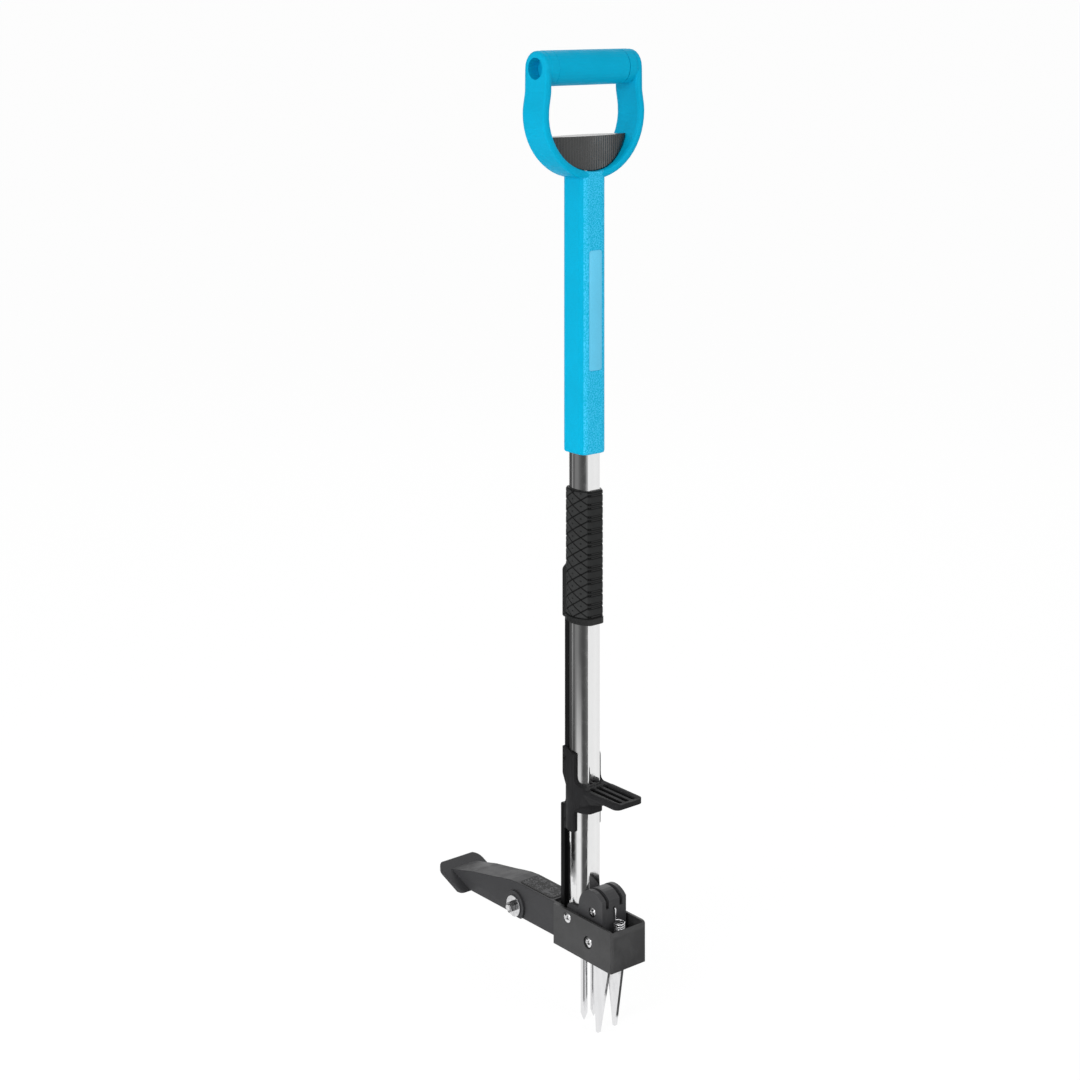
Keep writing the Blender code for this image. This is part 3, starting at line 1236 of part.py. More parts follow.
def build_handle(handle, blue, grip_color):
    shell = prism("handle_shell", [bowl_section()], "YZ", -HANDLE_HALF_DEPTH, HANDLE_HALF_DEPTH, HANDLE_EDGE)
    shaft = prism(
        "handle_shaft",
        [rectangle(-SHAFT_DEPTH / 2, SHAFT_DEPTH / 2, -SHAFT_WIDTH / 2, SHAFT_WIDTH / 2, SHAFT_CORNER, 5)],
        "XY", SHAFT_BOTTOM, SHAFT_TOP, 2.0 * MM,
    )
    core = across("grip_core", GRIP_CORE_RADIUS, 0.0, GRIP_Z, GRIP_HALF_LENGTH + 2 * MM, 26)
    fuse(shell, shaft, core)
    for side, name in ((-1, "near"), (1, "far")):
        boss = turned(
            "grip_boss_" + name,
            [
                (0.0, HANDLE_INNER + 4 * MM), (GRIP_RADIUS - 1.5 * MM, HANDLE_INNER + 4 * MM),
                (GRIP_RADIUS, HANDLE_INNER), (GRIP_RADIUS, GRIP_HALF_LENGTH), (0.0, GRIP_HALF_LENGTH),
            ],
            (0.0, 0.0, GRIP_Z), (0, side, 0), 24,
        )
        arm_end = turned(
            "arm_end_" + name,
            [(0.0, HANDLE_OUTER)]
            + [(HANDLE_HALF_DEPTH - HANDLE_EDGE + u, HANDLE_OUTER - HANDLE_EDGE + v)
               for u, v in arc(0, 0, HANDLE_EDGE, 90, 0, 3)]
            + [(HANDLE_HALF_DEPTH, HANDLE_INNER + 1 * MM), (0.0, HANDLE_INNER + 1 * MM)],
            (0.0, 0.0, GRIP_Z), (0, side, 0), 24,
        )
        fuse(shell, arm_end)
        fuse(shell, boss)
        cut(
            shell,
            cylinder(
                "grip_recess_" + name, RECESS_RADIUS,
                (0, side * (HANDLE_OUTER - RECESS_DEPTH), GRIP_Z), (0, side * (HANDLE_OUTER + 10 * MM), GRIP_Z),
            ),
        )
    pocket = prism(
        "button_pocket", [button_face(BUTTON_SIDE_GAP, BUTTON_TRAVEL)], "YZ",
        -HANDLE_HALF_DEPTH - 5 * MM, HANDLE_HALF_DEPTH + 5 * MM,
    )
    keep(pocket, prism("pocket_plan", [button_plan(BUTTON_SIDE_GAP, False)], "XY", SHAFT_BORE_TOP, GRIP_Z + 60 * MM))
    label = rectangle(-LABEL_WIDTH / 2, LABEL_WIDTH / 2, LABEL_BOTTOM, LABEL_TOP, LABEL_CORNER)
    cut(
        shell,
        pocket,
        barrel_prism("shaft_bore", SLIDE_GAP, SHAFT_BOTTOM - 10 * MM, SHAFT_BORE_TOP),
        cylinder("stem_socket", STEM_RADIUS + SEAT_GAP, (0, 0, SHAFT_BORE_TOP - 5 * MM), (0, 0, STEM_TOP + SEAT_GAP)),
        cylinder("rod_way", ROD_RADIUS + SLIDE_GAP, (0, 0, SHAFT_BORE_TOP), (0, 0, BUTTON_TOP), 24),
        cylinder("spring_pocket", SPRING_POCKET_RADIUS, (0, 0, SPRING_POCKET_FLOOR), (0, 0, BUTTON_TOP), 24),
        prism("label_recess", [label], "YZ", SHAFT_DEPTH / 2 - LABEL_DEPTH, SHAFT_DEPTH / 2 + 5 * MM),
    )
    seat(shell, handle, blue)

    end = GRIP_HALF_LENGTH - SEAT_GAP
    bore = GRIP_CORE_RADIUS + SEAT_GAP
    grip = turned(
        "grip_sleeve",
        [
            (bore, end), (GRIP_RADIUS - 0.5 * MM, end), (GRIP_RADIUS, end - 0.5 * MM),
            (GRIP_RADIUS, 0.5 * MM - end), (GRIP_RADIUS - 0.5 * MM, -end), (bore, -end), (bore, end),
        ],
        (0.0, 0.0, GRIP_Z), (0, -1, 0), 32,
    )
    seat(grip, handle, grip_color)


def build_button(button, black, steel):
    body = prism("release_button", [button_plan(0.0, True)], "XY", BOWL_Z - BUTTON_RADIUS - 5 * MM, BUTTON_TOP)
    face = prism("button_moon", [button_face(0.0, 0.0)], "YZ", -HANDLE_HALF_DEPTH, HANDLE_HALF_DEPTH)
    keep(body, face)
    bottom = BOWL_Z - BUTTON_RADIUS
    cut(
        body,
        cylinder("rod_socket", ROD_RADIUS + SEAT_GAP, (0, 0, bottom - 5 * MM), (0, 0, bottom + ROD_SOCKET), 24),
    )
    seat(body, button, black)

    rod_bottom = SHOE_TOP + BUTTON_TRAVEL + 1 * MM
    rod = cylinder("button_rod", ROD_RADIUS, (0, 0, rod_bottom), (0, 0, bottom + ROD_SOCKET - SEAT_GAP), 24)
    shoe_middle = (SHOE_TOP + SHOE_BOTTOM) / 2
    wedge_bottom = SHOE_BOTTOM - 2 * MM

    def wedge_y(z):
        return -(z - shoe_middle) * SHOE_DRAW_RATIO

    wedge = prism("lock_wedge", [wedge_outline(wedge_y, 0.0, wedge_bottom, rod_bottom + 1 * MM)], "YZ",
                  -WEDGE_HALF_THICKNESS, WEDGE_HALF_THICKNESS)
    foot_half = WEDGE_HALF_THICKNESS - 0.2 * MM
    foot = box(
        "rod_foot",
        (-foot_half, wedge_y(rod_bottom) - WEDGE_HALF_WIDTH + 0.2 * MM, rod_bottom - 0.4 * MM),
        (foot_half, ROD_RADIUS - 0.5 * MM, rod_bottom + 3 * MM),
    )
    fuse(rod, foot, wedge)
    seat(rod, button, steel)

    spring_bottom = SPRING_POCKET_FLOOR + SEAT_GAP
    spring = turned(
        "button_spring",
        [
            (ROD_RADIUS + SLIDE_GAP, bottom - SEAT_GAP), (SPRING_POCKET_RADIUS - SEAT_GAP, bottom - SEAT_GAP),
            (SPRING_POCKET_RADIUS - SEAT_GAP, spring_bottom), (ROD_RADIUS + SLIDE_GAP, spring_bottom),
            (ROD_RADIUS + SLIDE_GAP, bottom - SEAT_GAP),
        ],
        (0.0, 0.0, 0.0), steps=24,
    )
    seat(spring, button, steel)
    return wedge_y


def wedge_outline(middle, grow, low, high):
    """A slanted strip in the YZ plane about the wedge's middle line."""
    width = WEDGE_HALF_WIDTH + grow
    return [
        (middle(low) - width, low), (middle(low) + width, low),
        (middle(high) + width, high), (middle(high) - width, high),
    ]


def build_lock(handle, shoe_body, wedge_y, dark, steel):
    stem = cylinder("lock_stem", STEM_RADIUS, (0, 0, STEM_BLOCK_TOP - 5 * MM), (0, 0, STEM_TOP))
    block_offset = -TUBE_WALL - SLIDE_GAP
    fuse(stem, barrel_prism("stem_block", block_offset, STEM_BLOCK_BOTTOM, STEM_BLOCK_TOP))
    draw = BUTTON_TRAVEL * SHOE_DRAW_RATIO
    cut(
        stem,
        cylinder("stem_bore", ROD_RADIUS + SLIDE_GAP, (0, 0, STEM_BLOCK_BOTTOM), (0, 0, STEM_TOP + 5 * MM), 24),
        box(
            "shoe_way",
            (-SHOE_HALF_DEPTH - SEAT_GAP, SHOE_BACK - draw - SEAT_GAP, SHOE_BOTTOM - SEAT_GAP),
            (SHOE_HALF_DEPTH + SEAT_GAP, TUBE_WIDTH, SHOE_TOP + SEAT_GAP),
        ),
        box(
            "wedge_way",
            (-WEDGE_HALF_THICKNESS - SEAT_GAP, SHOE_BACK - draw - SEAT_GAP, STEM_BLOCK_BOTTOM - 5 * MM),
            (WEDGE_HALF_THICKNESS + SEAT_GAP, -SHOE_BACK, STEM_BLOCK_TOP - 3 * MM),
        ),
    )
    seat(stem, handle, dark)

    shoe = box(
        "lock_shoe", (-SHOE_HALF_DEPTH, SHOE_BACK, SHOE_BOTTOM), (SHOE_HALF_DEPTH, TUBE_WIDTH, SHOE_TOP)
    )
    keep(shoe, barrel_prism("shoe_face", -TUBE_WALL - SEAT_GAP, SHOE_BOTTOM - 5 * MM, SHOE_TOP + 5 * MM))
    slot = prism(
        "wedge_slot",
        [wedge_outline(wedge_y, SEAT_GAP, SHOE_BOTTOM - 3 * MM, SHOE_TOP + 3 * MM)], "YZ",
        -WEDGE_HALF_THICKNESS - SEAT_GAP, WEDGE_HALF_THICKNESS + SEAT_GAP,
    )
    cut(shoe, slot)
    seat(shoe, shoe_body, steel)


clear_scene()
parts = new_collection(COLLECTION_NAME)
cutters = new_collection("cutters")
cutters.hide_render = True

aluminium = paint("aluminium", (0.62, 0.63, 0.64), 0.32, 0.9)
black_plastic = paint("black_plastic", (0.03, 0.03, 0.032), 0.45)
grey_nylon = paint("grey_nylon", (0.09, 0.09, 0.095), 0.4)
blue_plastic = paint("blue_plastic", (0.0, 0.42, 0.69), 0.38)
black_rubber = paint("black_rubber", (0.02, 0.02, 0.022), 0.6)
bright_steel = paint("bright_steel", (0.72, 0.72, 0.73), 0.25, 1.0)
black_steel = paint("black_steel", (0.05, 0.05, 0.055), 0.35, 0.4)
speckled_pad = paint("speckled_pad", (0.25, 0.25, 0.26), 0.85)

frame = empty("tool_frame", (0.0, 0.0, 0.0))
base_body = empty("base_body", (0.0, 0.0, PIVOT_Z), frame)
pole_body = empty("pole_body", (0.0, 0.0, PIVOT_Z), frame)
claws_body = empty("claws_body", (CLAW_PIVOT_X, 0.0, CLAW_PIVOT_Z), pole_body)
ejector_body = empty("ejector_body", (0.0, 0.0, STEP_TOP), pole_body)
handle_body = empty("handle_body", (0.0, 0.0, SHAFT_BOTTOM), pole_body)
button_body = empty("button_body", (0.0, 0.0, BUTTON_TOP), handle_body)
shoe_body = empty("shoe_body", (0.0, 0.0, (SHOE_TOP + SHOE_BOTTOM) / 2), handle_body)

build_pole(pole_body, aluminium, black_plastic, bright_steel)
build_carrier(pole_body, grey_nylon, bright_steel)
build_claws(claws_body, bright_steel)
build_housing(base_body, black_steel, bright_steel)
build_lever(base_body, grey_nylon, speckled_pad, bright_steel)
build_spring(base_body, bright_steel)
build_ejector(ejector_body, grey_nylon, black_rubber, black_plastic, bright_steel)
build_handle(handle_body, blue_plastic, black_rubber)
slant = build_button(button_body, black_plastic, bright_steel)
build_lock(handle_body, shoe_body, slant, black_plastic, bright_steel)
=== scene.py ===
import json
import math

import bmesh
import bpy
from mathutils import Matrix, Vector


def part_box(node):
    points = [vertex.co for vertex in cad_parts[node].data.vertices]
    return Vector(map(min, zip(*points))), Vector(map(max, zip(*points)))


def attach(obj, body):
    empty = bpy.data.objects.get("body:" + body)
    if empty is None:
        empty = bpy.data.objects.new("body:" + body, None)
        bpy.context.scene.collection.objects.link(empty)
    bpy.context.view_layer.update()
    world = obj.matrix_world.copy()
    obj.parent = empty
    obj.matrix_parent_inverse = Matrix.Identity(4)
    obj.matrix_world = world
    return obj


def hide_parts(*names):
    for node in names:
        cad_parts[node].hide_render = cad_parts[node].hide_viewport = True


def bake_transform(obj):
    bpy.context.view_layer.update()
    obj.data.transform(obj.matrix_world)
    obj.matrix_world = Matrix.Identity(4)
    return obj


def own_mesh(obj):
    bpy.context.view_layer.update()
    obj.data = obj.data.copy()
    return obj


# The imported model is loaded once, before anything takes its defaults from it
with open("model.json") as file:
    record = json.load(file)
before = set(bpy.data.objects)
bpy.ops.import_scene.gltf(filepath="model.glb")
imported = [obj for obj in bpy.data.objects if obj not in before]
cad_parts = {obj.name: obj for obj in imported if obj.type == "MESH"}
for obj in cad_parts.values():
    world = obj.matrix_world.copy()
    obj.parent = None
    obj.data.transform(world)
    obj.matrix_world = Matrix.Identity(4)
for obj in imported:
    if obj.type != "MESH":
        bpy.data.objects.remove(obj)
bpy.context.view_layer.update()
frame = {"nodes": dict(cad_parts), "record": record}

bl_info = {
    "name": "Weed puller finish",
    "version": (1, 0, 0),
    "blender": (4, 5, 0),
    "location": "View3D > Sidebar > Weed puller",
    "description": "Dresses the stand-up weed puller with its finishes, small hardware and studio",
    "category": "Object",
}

MM = 0.001
WELD = 0.002 * MM  # vertices nearer than this are one

# The pole's middle line stands this far in front of the frame's origin
POLE_X = sum(corner[0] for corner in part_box("main_tube")) / 2

# The tube's section: flat front and rear, round corners, bowed sides
TUBE_CORNER = 2.0 * MM
TUBE_FLAT_HALF = 7.15 * MM
PIVOT_HOLE = 5.15 * MM

# The paler face of the handle's shaft: everything in front of this plane, up to this height
SHAFT_FACE = POLE_X + 15.2 * MM
SHAFT_TOP = 0.86
NO_LIMIT = 2.0

# The studio's curved card, in degrees and metres
CARD_MIDDLE = -130.0
CARD_HALF_TURN = 66.0
CARD_HALF_HEIGHT = 0.66
CARD_REACH = 0.5
WHITE = (1.0, 1.0, 1.0, 1.0)


# Settings that a user would change

def length(name, description, default, low=0.0):
    return bpy.props.FloatProperty(
        name=name, description=description, default=default, min=low, subtype="DISTANCE")


def figure(name, description, default, low=0.0, high=1000.0):
    return bpy.props.FloatProperty(
        name=name, description=description, default=default, min=low, max=high)


def whole(name, description, default, low):
    return bpy.props.IntProperty(name=name, description=description, default=default, min=low)


def paint(name, description, default):
    return bpy.props.FloatVectorProperty(
        name=name, description=description, default=default, subtype="COLOR", size=3, min=0, max=1)


class FinishColours(bpy.types.PropertyGroup):
    handle: paint("Handle", "Moulded handle and grip", (0.0, 0.400, 0.642))
    label: paint("Label", "Bare plate let into the handle's shaft", (0.130, 0.60, 0.87))
    nylon: paint("Nylon", "Lever, step and claw carrier", (0.020, 0.020, 0.021))
    coating: paint("Powder coat", "Sheet housing", (0.041, 0.041, 0.042))
    rubber: paint("Rubber", "Hand sleeve", (0.034, 0.035, 0.035))
    button: paint("Button", "Release button", (0.030, 0.031, 0.031))
    pad: paint("Tread pad", "Gritty pad on the lever", (0.035, 0.035, 0.037))
    tube: paint("Tube", "Drawn aluminium tube", (0.82, 0.82, 0.82))
    steel: paint("Steel", "Tines, claws and screws", (0.80, 0.80, 0.81))


class SleeveSizes(bpy.types.PropertyGroup):
    pitch: length("Pitch", "Height of one diamond", 12.7 * MM, 4 * MM)
    slope: figure("Slope", "Rise of a groove along the section", 0.60, 0.1)
    groove: length("Groove", "Half the width of a groove", 0.9 * MM, 0.1 * MM)
    proud: length("Proud", "How far the pads stand out", 0.75 * MM, 0.1 * MM)
    dot: length("Dot", "Radius of the dimple in each diamond", 1.3 * MM, 0.1 * MM)
    collar: length("Collar", "Height of the plain collar under the pads", 6.4 * MM)
    wall: length("Wall", "Wall of the sleeve under the pads", 2.45 * MM, MM)
    rings: whole("Rings", "Rings of faces up the sleeve", 280, 20)
    around: whole("Around", "Faces round the sleeve", 232, 24)


class TubeSizes(bpy.types.PropertyGroup):
    wall: length("Wall", "Wall of the tube", 1.5 * MM, 0.3 * MM)
    around: whole("Around", "Faces round the tube", 260, 24)


class NeckSizes(bpy.types.PropertyGroup):
    half_width: length("Half width", "Half the width of the face", 14.9 * MM)
    back: length("Back", "Distance of its back from the pole's axis", 14.2 * MM)
    corner: length("Corner", "Radius of the shaft's corners", 8.52 * MM)
    corner_middle: length(
        "Corner middle", "Distance of the corners' centres from the pole's axis", 9.5 * MM)
    flat_half: length("Flat", "Half the width of the shaft's flat front", 7.9 * MM)
    bowl: length("Bowl", "Radius of the bowl where the face ends", 60.3 * MM)
    under_grip: length("Under grip", "How far the bowl's centre is under the grip's", 45.7 * MM)
    drop: length("Drop", "How far below the bowl's centre the face begins", 74.0 * MM)


class StepSizes(bpy.types.PropertyGroup):
    groove: length("Groove", "Width of a groove between ribs", 5.0 * MM, MM)
    pitch: length("Pitch", "Distance from groove to groove", 8.6 * MM, 2 * MM)
    depth: length("Depth", "Depth of a groove", 3.0 * MM, 0.5 * MM)
    rib_start: length("Rib start", "Distance of the grooves from the pole's axis", 20.2 * MM)
    margin: length("Margin", "Plain rim at the grooves' outer ends", 4.0 * MM)
    band: length(
        "Band", "How far the band across the tube hangs under the tread", 26.5 * MM, 5 * MM)


class ScrewSizes(bpy.types.PropertyGroup):
    cross_length: length("Cross", "Length of a cross recess", 5.0 * MM, MM)
    cross_width: length("Cross width", "Width of a cross recess", 1.15 * MM, 0.2 * MM)
    cross_depth: length("Cross depth", "Depth of a cross recess", 1.5 * MM, 0.2 * MM)
    thread_radius: length("Thread radius", "Radius of the lever bolt", 3.0 * MM, MM)
    thread_pitch: length("Thread", "Pitch of the lever bolt's thread", 1.0 * MM, 0.3 * MM)


class LabelSizes(bpy.types.PropertyGroup):
    thickness: length("Thickness", "Thickness of the bare plate", 0.45 * MM, 0.1 * MM)
    width: length("Width", "Width of the bare plate", 16.9 * MM, 5 * MM)
    height: length("Height", "Height of the bare plate", 122.4 * MM, 20 * MM)
    corner: length("Corner", "Corner radius of the plate", 2.7 * MM, 0.2 * MM)


class StudioSettings(bpy.types.PropertyGroup):
    eye: bpy.props.FloatVectorProperty(
        name="Eye", description="Where the camera stands", subtype="TRANSLATION",
        default=(1.623 + POLE_X, -1.3831, 1.0494))
    heading: figure("Heading", "Compass turn of the camera in degrees", 50.783, -360.0, 360.0)
    lens: figure("Lens", "Focal length on a 36 mm frame", 69.338, 1.0)
    rise: figure("Shift", "Vertical shift of the frame", -0.508, -2.0, 2.0)
    key: figure("Key", "Power of the key light", 34.0)
    fill: figure("Fill", "Power of the fill light", 14.0)
    low: figure("Low", "Power of the low side light", 3.5)
    sky: figure("Sky", "Strength of the even light", 0.62)
    dark_card: figure("Dark card", "Shade of the dark part of the cards", 0.08, 0, 1)
    grey_card: figure("Grey card", "Shade of the grey part of the cards", 0.22, 0, 1)


# Node helpers

def feed(tree, socket, value):
    """Sets an input, or links it where the value is another node's output."""
    if isinstance(value, bpy.types.NodeSocket):
        tree.links.new(value, socket)
    else:
        socket.default_value = value


def fill(tree, node, **values):
    """Feeds a node's inputs, which are named by their sockets."""
    for name, value in values.items():
        feed(tree, node.inputs[name.replace("_", " ")], value)


def add(tree, kind, **values):
    """A node with its own settings and its inputs."""
    node = tree.nodes.new(kind)
    for name, value in values.items():
        if hasattr(node, name):
            setattr(node, name, value)
        else:
            fill(tree, node, **{name: value})
    return node


def calculate(tree, operation, *values, kind="ShaderNodeMath"):
    """A Math node on sockets or numbers."""
    node = add(tree, kind, operation=operation)
    for socket, value in zip(node.inputs, values):
        feed(tree, socket, value)
    return node.outputs[0]


def scale_to(tree, value, low, high, to_low=0.0, to_high=1.0, smooth=False):
    node = add(
        tree, "ShaderNodeMapRange", interpolation_type="SMOOTHSTEP" if smooth else "LINEAR",
        Value=value, From_Min=low, From_Max=high, To_Min=to_low, To_Max=to_high)
    return node.outputs["Result"]


def tint(tree, mask, first, second):
    """A colour between two, by a mask. Either may be a socket or a colour."""
    node = add(tree, "ShaderNodeMix", data_type="RGBA", Factor=mask)
    for name, value in (("A", first), ("B", second)):
        socket = [s for s in node.inputs if s.name == name and s.type == "RGBA"][0]
        linked = isinstance(value, bpy.types.NodeSocket)
        feed(tree, socket, value if linked else (*value[:3], 1.0))
    return [s for s in node.outputs if s.type == "RGBA"][0]


def noise(tree, where, scale, detail, roughness, distortion=0.0):
    node = add(
        tree, "ShaderNodeTexNoise", Vector=where, Scale=scale, Detail=detail, Roughness=roughness,
        Distortion=distortion)
    return node.outputs["Fac"]


def rays(tree, first, *others):
    """One for rays of the kinds named, and zero for others."""
    path = tree.nodes.new("ShaderNodeLightPath").outputs
    found = path[first]
    for kind in others:
        found = calculate(tree, "MAXIMUM", found, path[kind])
    return found


def mix_shaders(tree, share, first, second, into):
    """Two shaders by a share, into the output of a material or a world."""
    blend = add(tree, "ShaderNodeMixShader", Fac=share)
    tree.links.new(first, blend.inputs[1])
    tree.links.new(second, blend.inputs[2])
    tree.links.new(blend.outputs["Shader"], tree.nodes[into].inputs["Surface"])


def new_group(name, inputs, outputs):
    """An empty shader group and the nodes of its sockets. Inputs are (name, default)."""
    group = bpy.data.node_groups.new(name, "ShaderNodeTree")
    group.interface.new_socket(name="Vector", in_out="INPUT", socket_type="NodeSocketVector")
    for label, default in inputs:
        socket = group.interface.new_socket(
            name=label, in_out="INPUT", socket_type="NodeSocketFloat")
        socket.default_value = default
    for label in outputs:
        group.interface.new_socket(name=label, in_out="OUTPUT", socket_type="NodeSocketFloat")
    given = group.nodes.new("NodeGroupInput")
    return group, given.outputs, group.nodes.new("NodeGroupOutput")


def place_group(tree, group, where, **values):
    return add(tree, "ShaderNodeGroup", node_tree=group, Vector=where, **values).outputs


# Effects that several finishes share

def moulded_grain():
    """Fine spark-eroded grain of a mould, with slow changes of tone over it."""
    group, given, result = new_group(
        "moulded grain", [("Scale", 900.0), ("Cloud", 28.0)], ["Height", "Tone"])
    fine = noise(group, given["Vector"], given["Scale"], 4.0, 0.65)
    cells = add(
        group, "ShaderNodeTexVoronoi", Vector=given["Vector"], Scale=given["Scale"])
    height = calculate(group, "MULTIPLY_ADD", cells.outputs["Distance"], 0.5, fine)
    cloud = noise(group, given["Vector"], given["Cloud"], 3.0, 0.55)
    fill(group, result, Height=height, Tone=scale_to(group, cloud, 0.3, 0.7))
    return group


def drawn_streaks():
    """Long streaks that a die leaves along drawn or ground metal, along Z."""
    group, given, result = new_group(
        "drawn streaks", [("Across", 420.0), ("Along", 0.01)], ["Streak", "Band"])
    stretch = add(group, "ShaderNodeCombineXYZ", X=1.0, Y=1.0, Z=given["Along"])
    where = calculate(
        group, "MULTIPLY", given["Vector"], stretch.outputs["Vector"], kind="ShaderNodeVectorMath")
    wide = calculate(group, "MULTIPLY", given["Across"], 0.2)
    band = scale_to(group, noise(group, where, wide, 2.0, 0.5), 0.32, 0.68, smooth=True)
    fill(group, result, Streak=noise(group, where, given["Across"], 5.0, 0.7), Band=band)
    return group


def handling_marks():
    """Faint scuffs and finger marks that change the gloss in patches."""
    group, given, result = new_group(
        "handling marks", [("Scale", 60.0), ("Rough", 0.4), ("Change", 0.08)],
        ["Roughness", "Mask"])
    patch = noise(group, given["Vector"], given["Scale"], 6.0, 0.6, 0.4)
    mask = scale_to(group, patch, 0.42, 0.62, smooth=True)
    centred = calculate(group, "SUBTRACT", mask, 0.5)
    change = calculate(group, "MULTIPLY", centred, given["Change"])
    fill(group, result, Roughness=calculate(group, "ADD", change, given["Rough"]), Mask=mask)
    return group


def toned(colour, share):
    """A colour made darker by a share under 1, or paler by one above it."""
    return tuple(channel * share for channel in colour[:3])


def new_material(name):
    """A new material with its tree and its shader."""
    material = bpy.data.materials.new(name)
    material.use_nodes = True
    return material, material.node_tree, material.node_tree.nodes["Principled BSDF"]


def start_finish(name, metallic=0.0, specular=0.5):
    """A new material's tree, its shader and its Object coordinates."""
    _material, tree, shader = new_material(name)
    fill(tree, shader, Metallic=metallic, Specular_IOR_Level=specular)
    return tree, shader, tree.nodes.new("ShaderNodeTexCoord").outputs["Object"]


def end_finish(tree, shader, base, roughness, height, strength, distance):
    """Feeds the shader with a colour, a roughness and a bump."""
    bump = add(tree, "ShaderNodeBump", Height=height, Strength=strength, Distance=distance)
    fill(tree, shader, Base_Color=base, Roughness=roughness, Normal=bump.outputs["Normal"])


def paint_hollow_shade(tree, base, attribute, deep):
    """Paints shade: goes over to a dark colour where a vertex attribute marks grooves and recesses.
    """
    mask = add(tree, "ShaderNodeAttribute", attribute_name=attribute)
    return tint(tree, mask.outputs["Fac"], base, deep)


def moulded_finish(
        groups, name, colour, roughness, grain, depth, spread, specular, face_top, hollow):
    """Moulded plastic: grain with its depth in mm, slow tone and scuffs.

    The shaft's front is paler up to face_top.
    hollow names an attribute that paints shade into grooves.
    """
    tree, shader, where = start_finish(name, specular=specular)
    fine = place_group(tree, groups["grain"], where, Scale=grain, Cloud=24.0)
    marks = place_group(tree, groups["marks"], where, Scale=45.0, Rough=roughness, Change=0.10)
    base = tint(tree, fine["Tone"], toned(colour, 1.0 - spread), toned(colour, 1.0 + spread))
    base = tint(tree, scale_to(tree, fine["Height"], 0.55, 1.05), base, toned(colour, 0.86))
    if face_top is not None:
        base = pale_face(tree, where, base, colour, face_top)
    if hollow is not None:
        base = paint_hollow_shade(tree, base, hollow, toned(colour, 0.08))
    end_finish(tree, shader, base, marks["Roughness"], fine["Height"], 0.35, depth * MM)


def pale_face(tree, where, base, colour, top):
    """Paler plastic with its own flecks on the front of the handle's shaft, up to a height."""
    axes = add(tree, "ShaderNodeSeparateXYZ", Vector=where)
    edge = 0.2 * MM
    front = scale_to(tree, axes.outputs["X"], SHAFT_FACE - edge, SHAFT_FACE + edge, smooth=True)
    below = scale_to(tree, axes.outputs["Z"], top - MM, top + MM, 1.0, 0.0, True)
    speck = scale_to(tree, noise(tree, where, 760.0, 2.5, 0.6), 0.40, 0.60)
    paler = tuple(min(1.0, channel + 0.055) for channel in toned(colour, 1.28))
    flecked = tint(tree, speck, paler, toned(colour, 0.98))
    return tint(tree, calculate(tree, "MULTIPLY", front, below), base, flecked)


def metal_finish(groups, name, colour, roughness, across, along, contrast, turn, hollow):
    """Drawn or ground metal with streaks along Z, or along another axis when it is turned.

    hollow names an attribute that paints shade into recesses.
    """
    tree, shader, where = start_finish(name, 1.0)
    if turn is not None:
        mapping = add(tree, "ShaderNodeMapping", Vector=where, Rotation=turn)
        where = mapping.outputs["Vector"]
    streaks = place_group(tree, groups["streaks"], where, Across=across, Along=along)
    marks = place_group(tree, groups["marks"], where, Scale=90.0, Rough=roughness, Change=0.12)
    base = tint(tree, streaks["Band"], toned(colour, 1.0 - contrast), colour)
    share = calculate(tree, "MULTIPLY", scale_to(tree, streaks["Streak"], 0.35, 0.65), 0.35)
    base = tint(tree, share, base, toned(colour, 1.0 - 1.4 * contrast))
    if hollow is not None:
        base = paint_hollow_shade(tree, base, hollow, toned(colour, 0.06))
    end_finish(tree, shader, base, marks["Roughness"], streaks["Streak"], 0.10, 0.03 * MM)


def mottled_pad(groups, name, colour):
    """Gritty insert: worm-like raised patches on a dark ground, with a plain border."""
    tree, shader, where = start_finish(name, specular=0.3)
    mask = scale_to(tree, noise(tree, where, 210.0, 2.0, 0.5, 1.4), 0.47, 0.55, smooth=True)
    low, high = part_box("tread_pad")
    axes = add(tree, "ShaderNodeSeparateXYZ", Vector=where)
    for axis, start, end in zip("XY", low, high):
        away = calculate(tree, "SUBTRACT", axes.outputs[axis], (start + end) / 2)
        away = calculate(tree, "ABSOLUTE", away)
        reach = (end - start) / 2
        field = scale_to(tree, away, reach - 2.0 * MM, reach - 1.4 * MM, 1.0, 0.0, True)
        mask = calculate(tree, "MULTIPLY", mask, field)
    grain = place_group(tree, groups["grain"], where, Scale=1500.0, Cloud=60.0)
    base = tint(tree, mask, toned(colour, 0.06), toned(colour, 2.1))
    height = calculate(tree, "MULTIPLY_ADD", grain["Height"], 0.2, mask)
    end_finish(tree, shader, base, 0.55, height, 1.0, 0.5 * MM)


def powder_coat(groups, name, colour):
    """Powder coat on sheet steel: orange peel and a little variation in gloss."""
    tree, shader, where = start_finish(name, specular=0.3)
    peel = noise(tree, where, 620.0, 1.5, 0.45)
    marks = place_group(tree, groups["marks"], where, Scale=38.0, Rough=0.42, Change=0.10)
    base = tint(tree, marks["Mask"], toned(colour, 0.88), toned(colour, 1.16))
    end_finish(tree, shader, base, marks["Roughness"], peel, 0.30, 0.12 * MM)


# Mesh helpers

def named(rows, name):
    """The row of the record that has a name."""
    return [row for row in rows if row["name"] == name][0]


def middle(low, high):
    return [(start + end) / 2 for start, end in zip(low, high)]


def weld(shape):
    bmesh.ops.remove_doubles(shape, verts=shape.verts, dist=WELD)


def move(shape, offset):
    bmesh.ops.translate(shape, verts=shape.verts, vec=offset)


def add_block(shape, size):
    """Adds a box round the origin, and returns its vertices."""
    made = bmesh.ops.create_cube(shape, size=1.0)["verts"]
    bmesh.ops.scale(shape, vec=size, verts=made)
    return made


def open_edges(shape):
    return [edge for edge in shape.edges if edge.is_boundary]


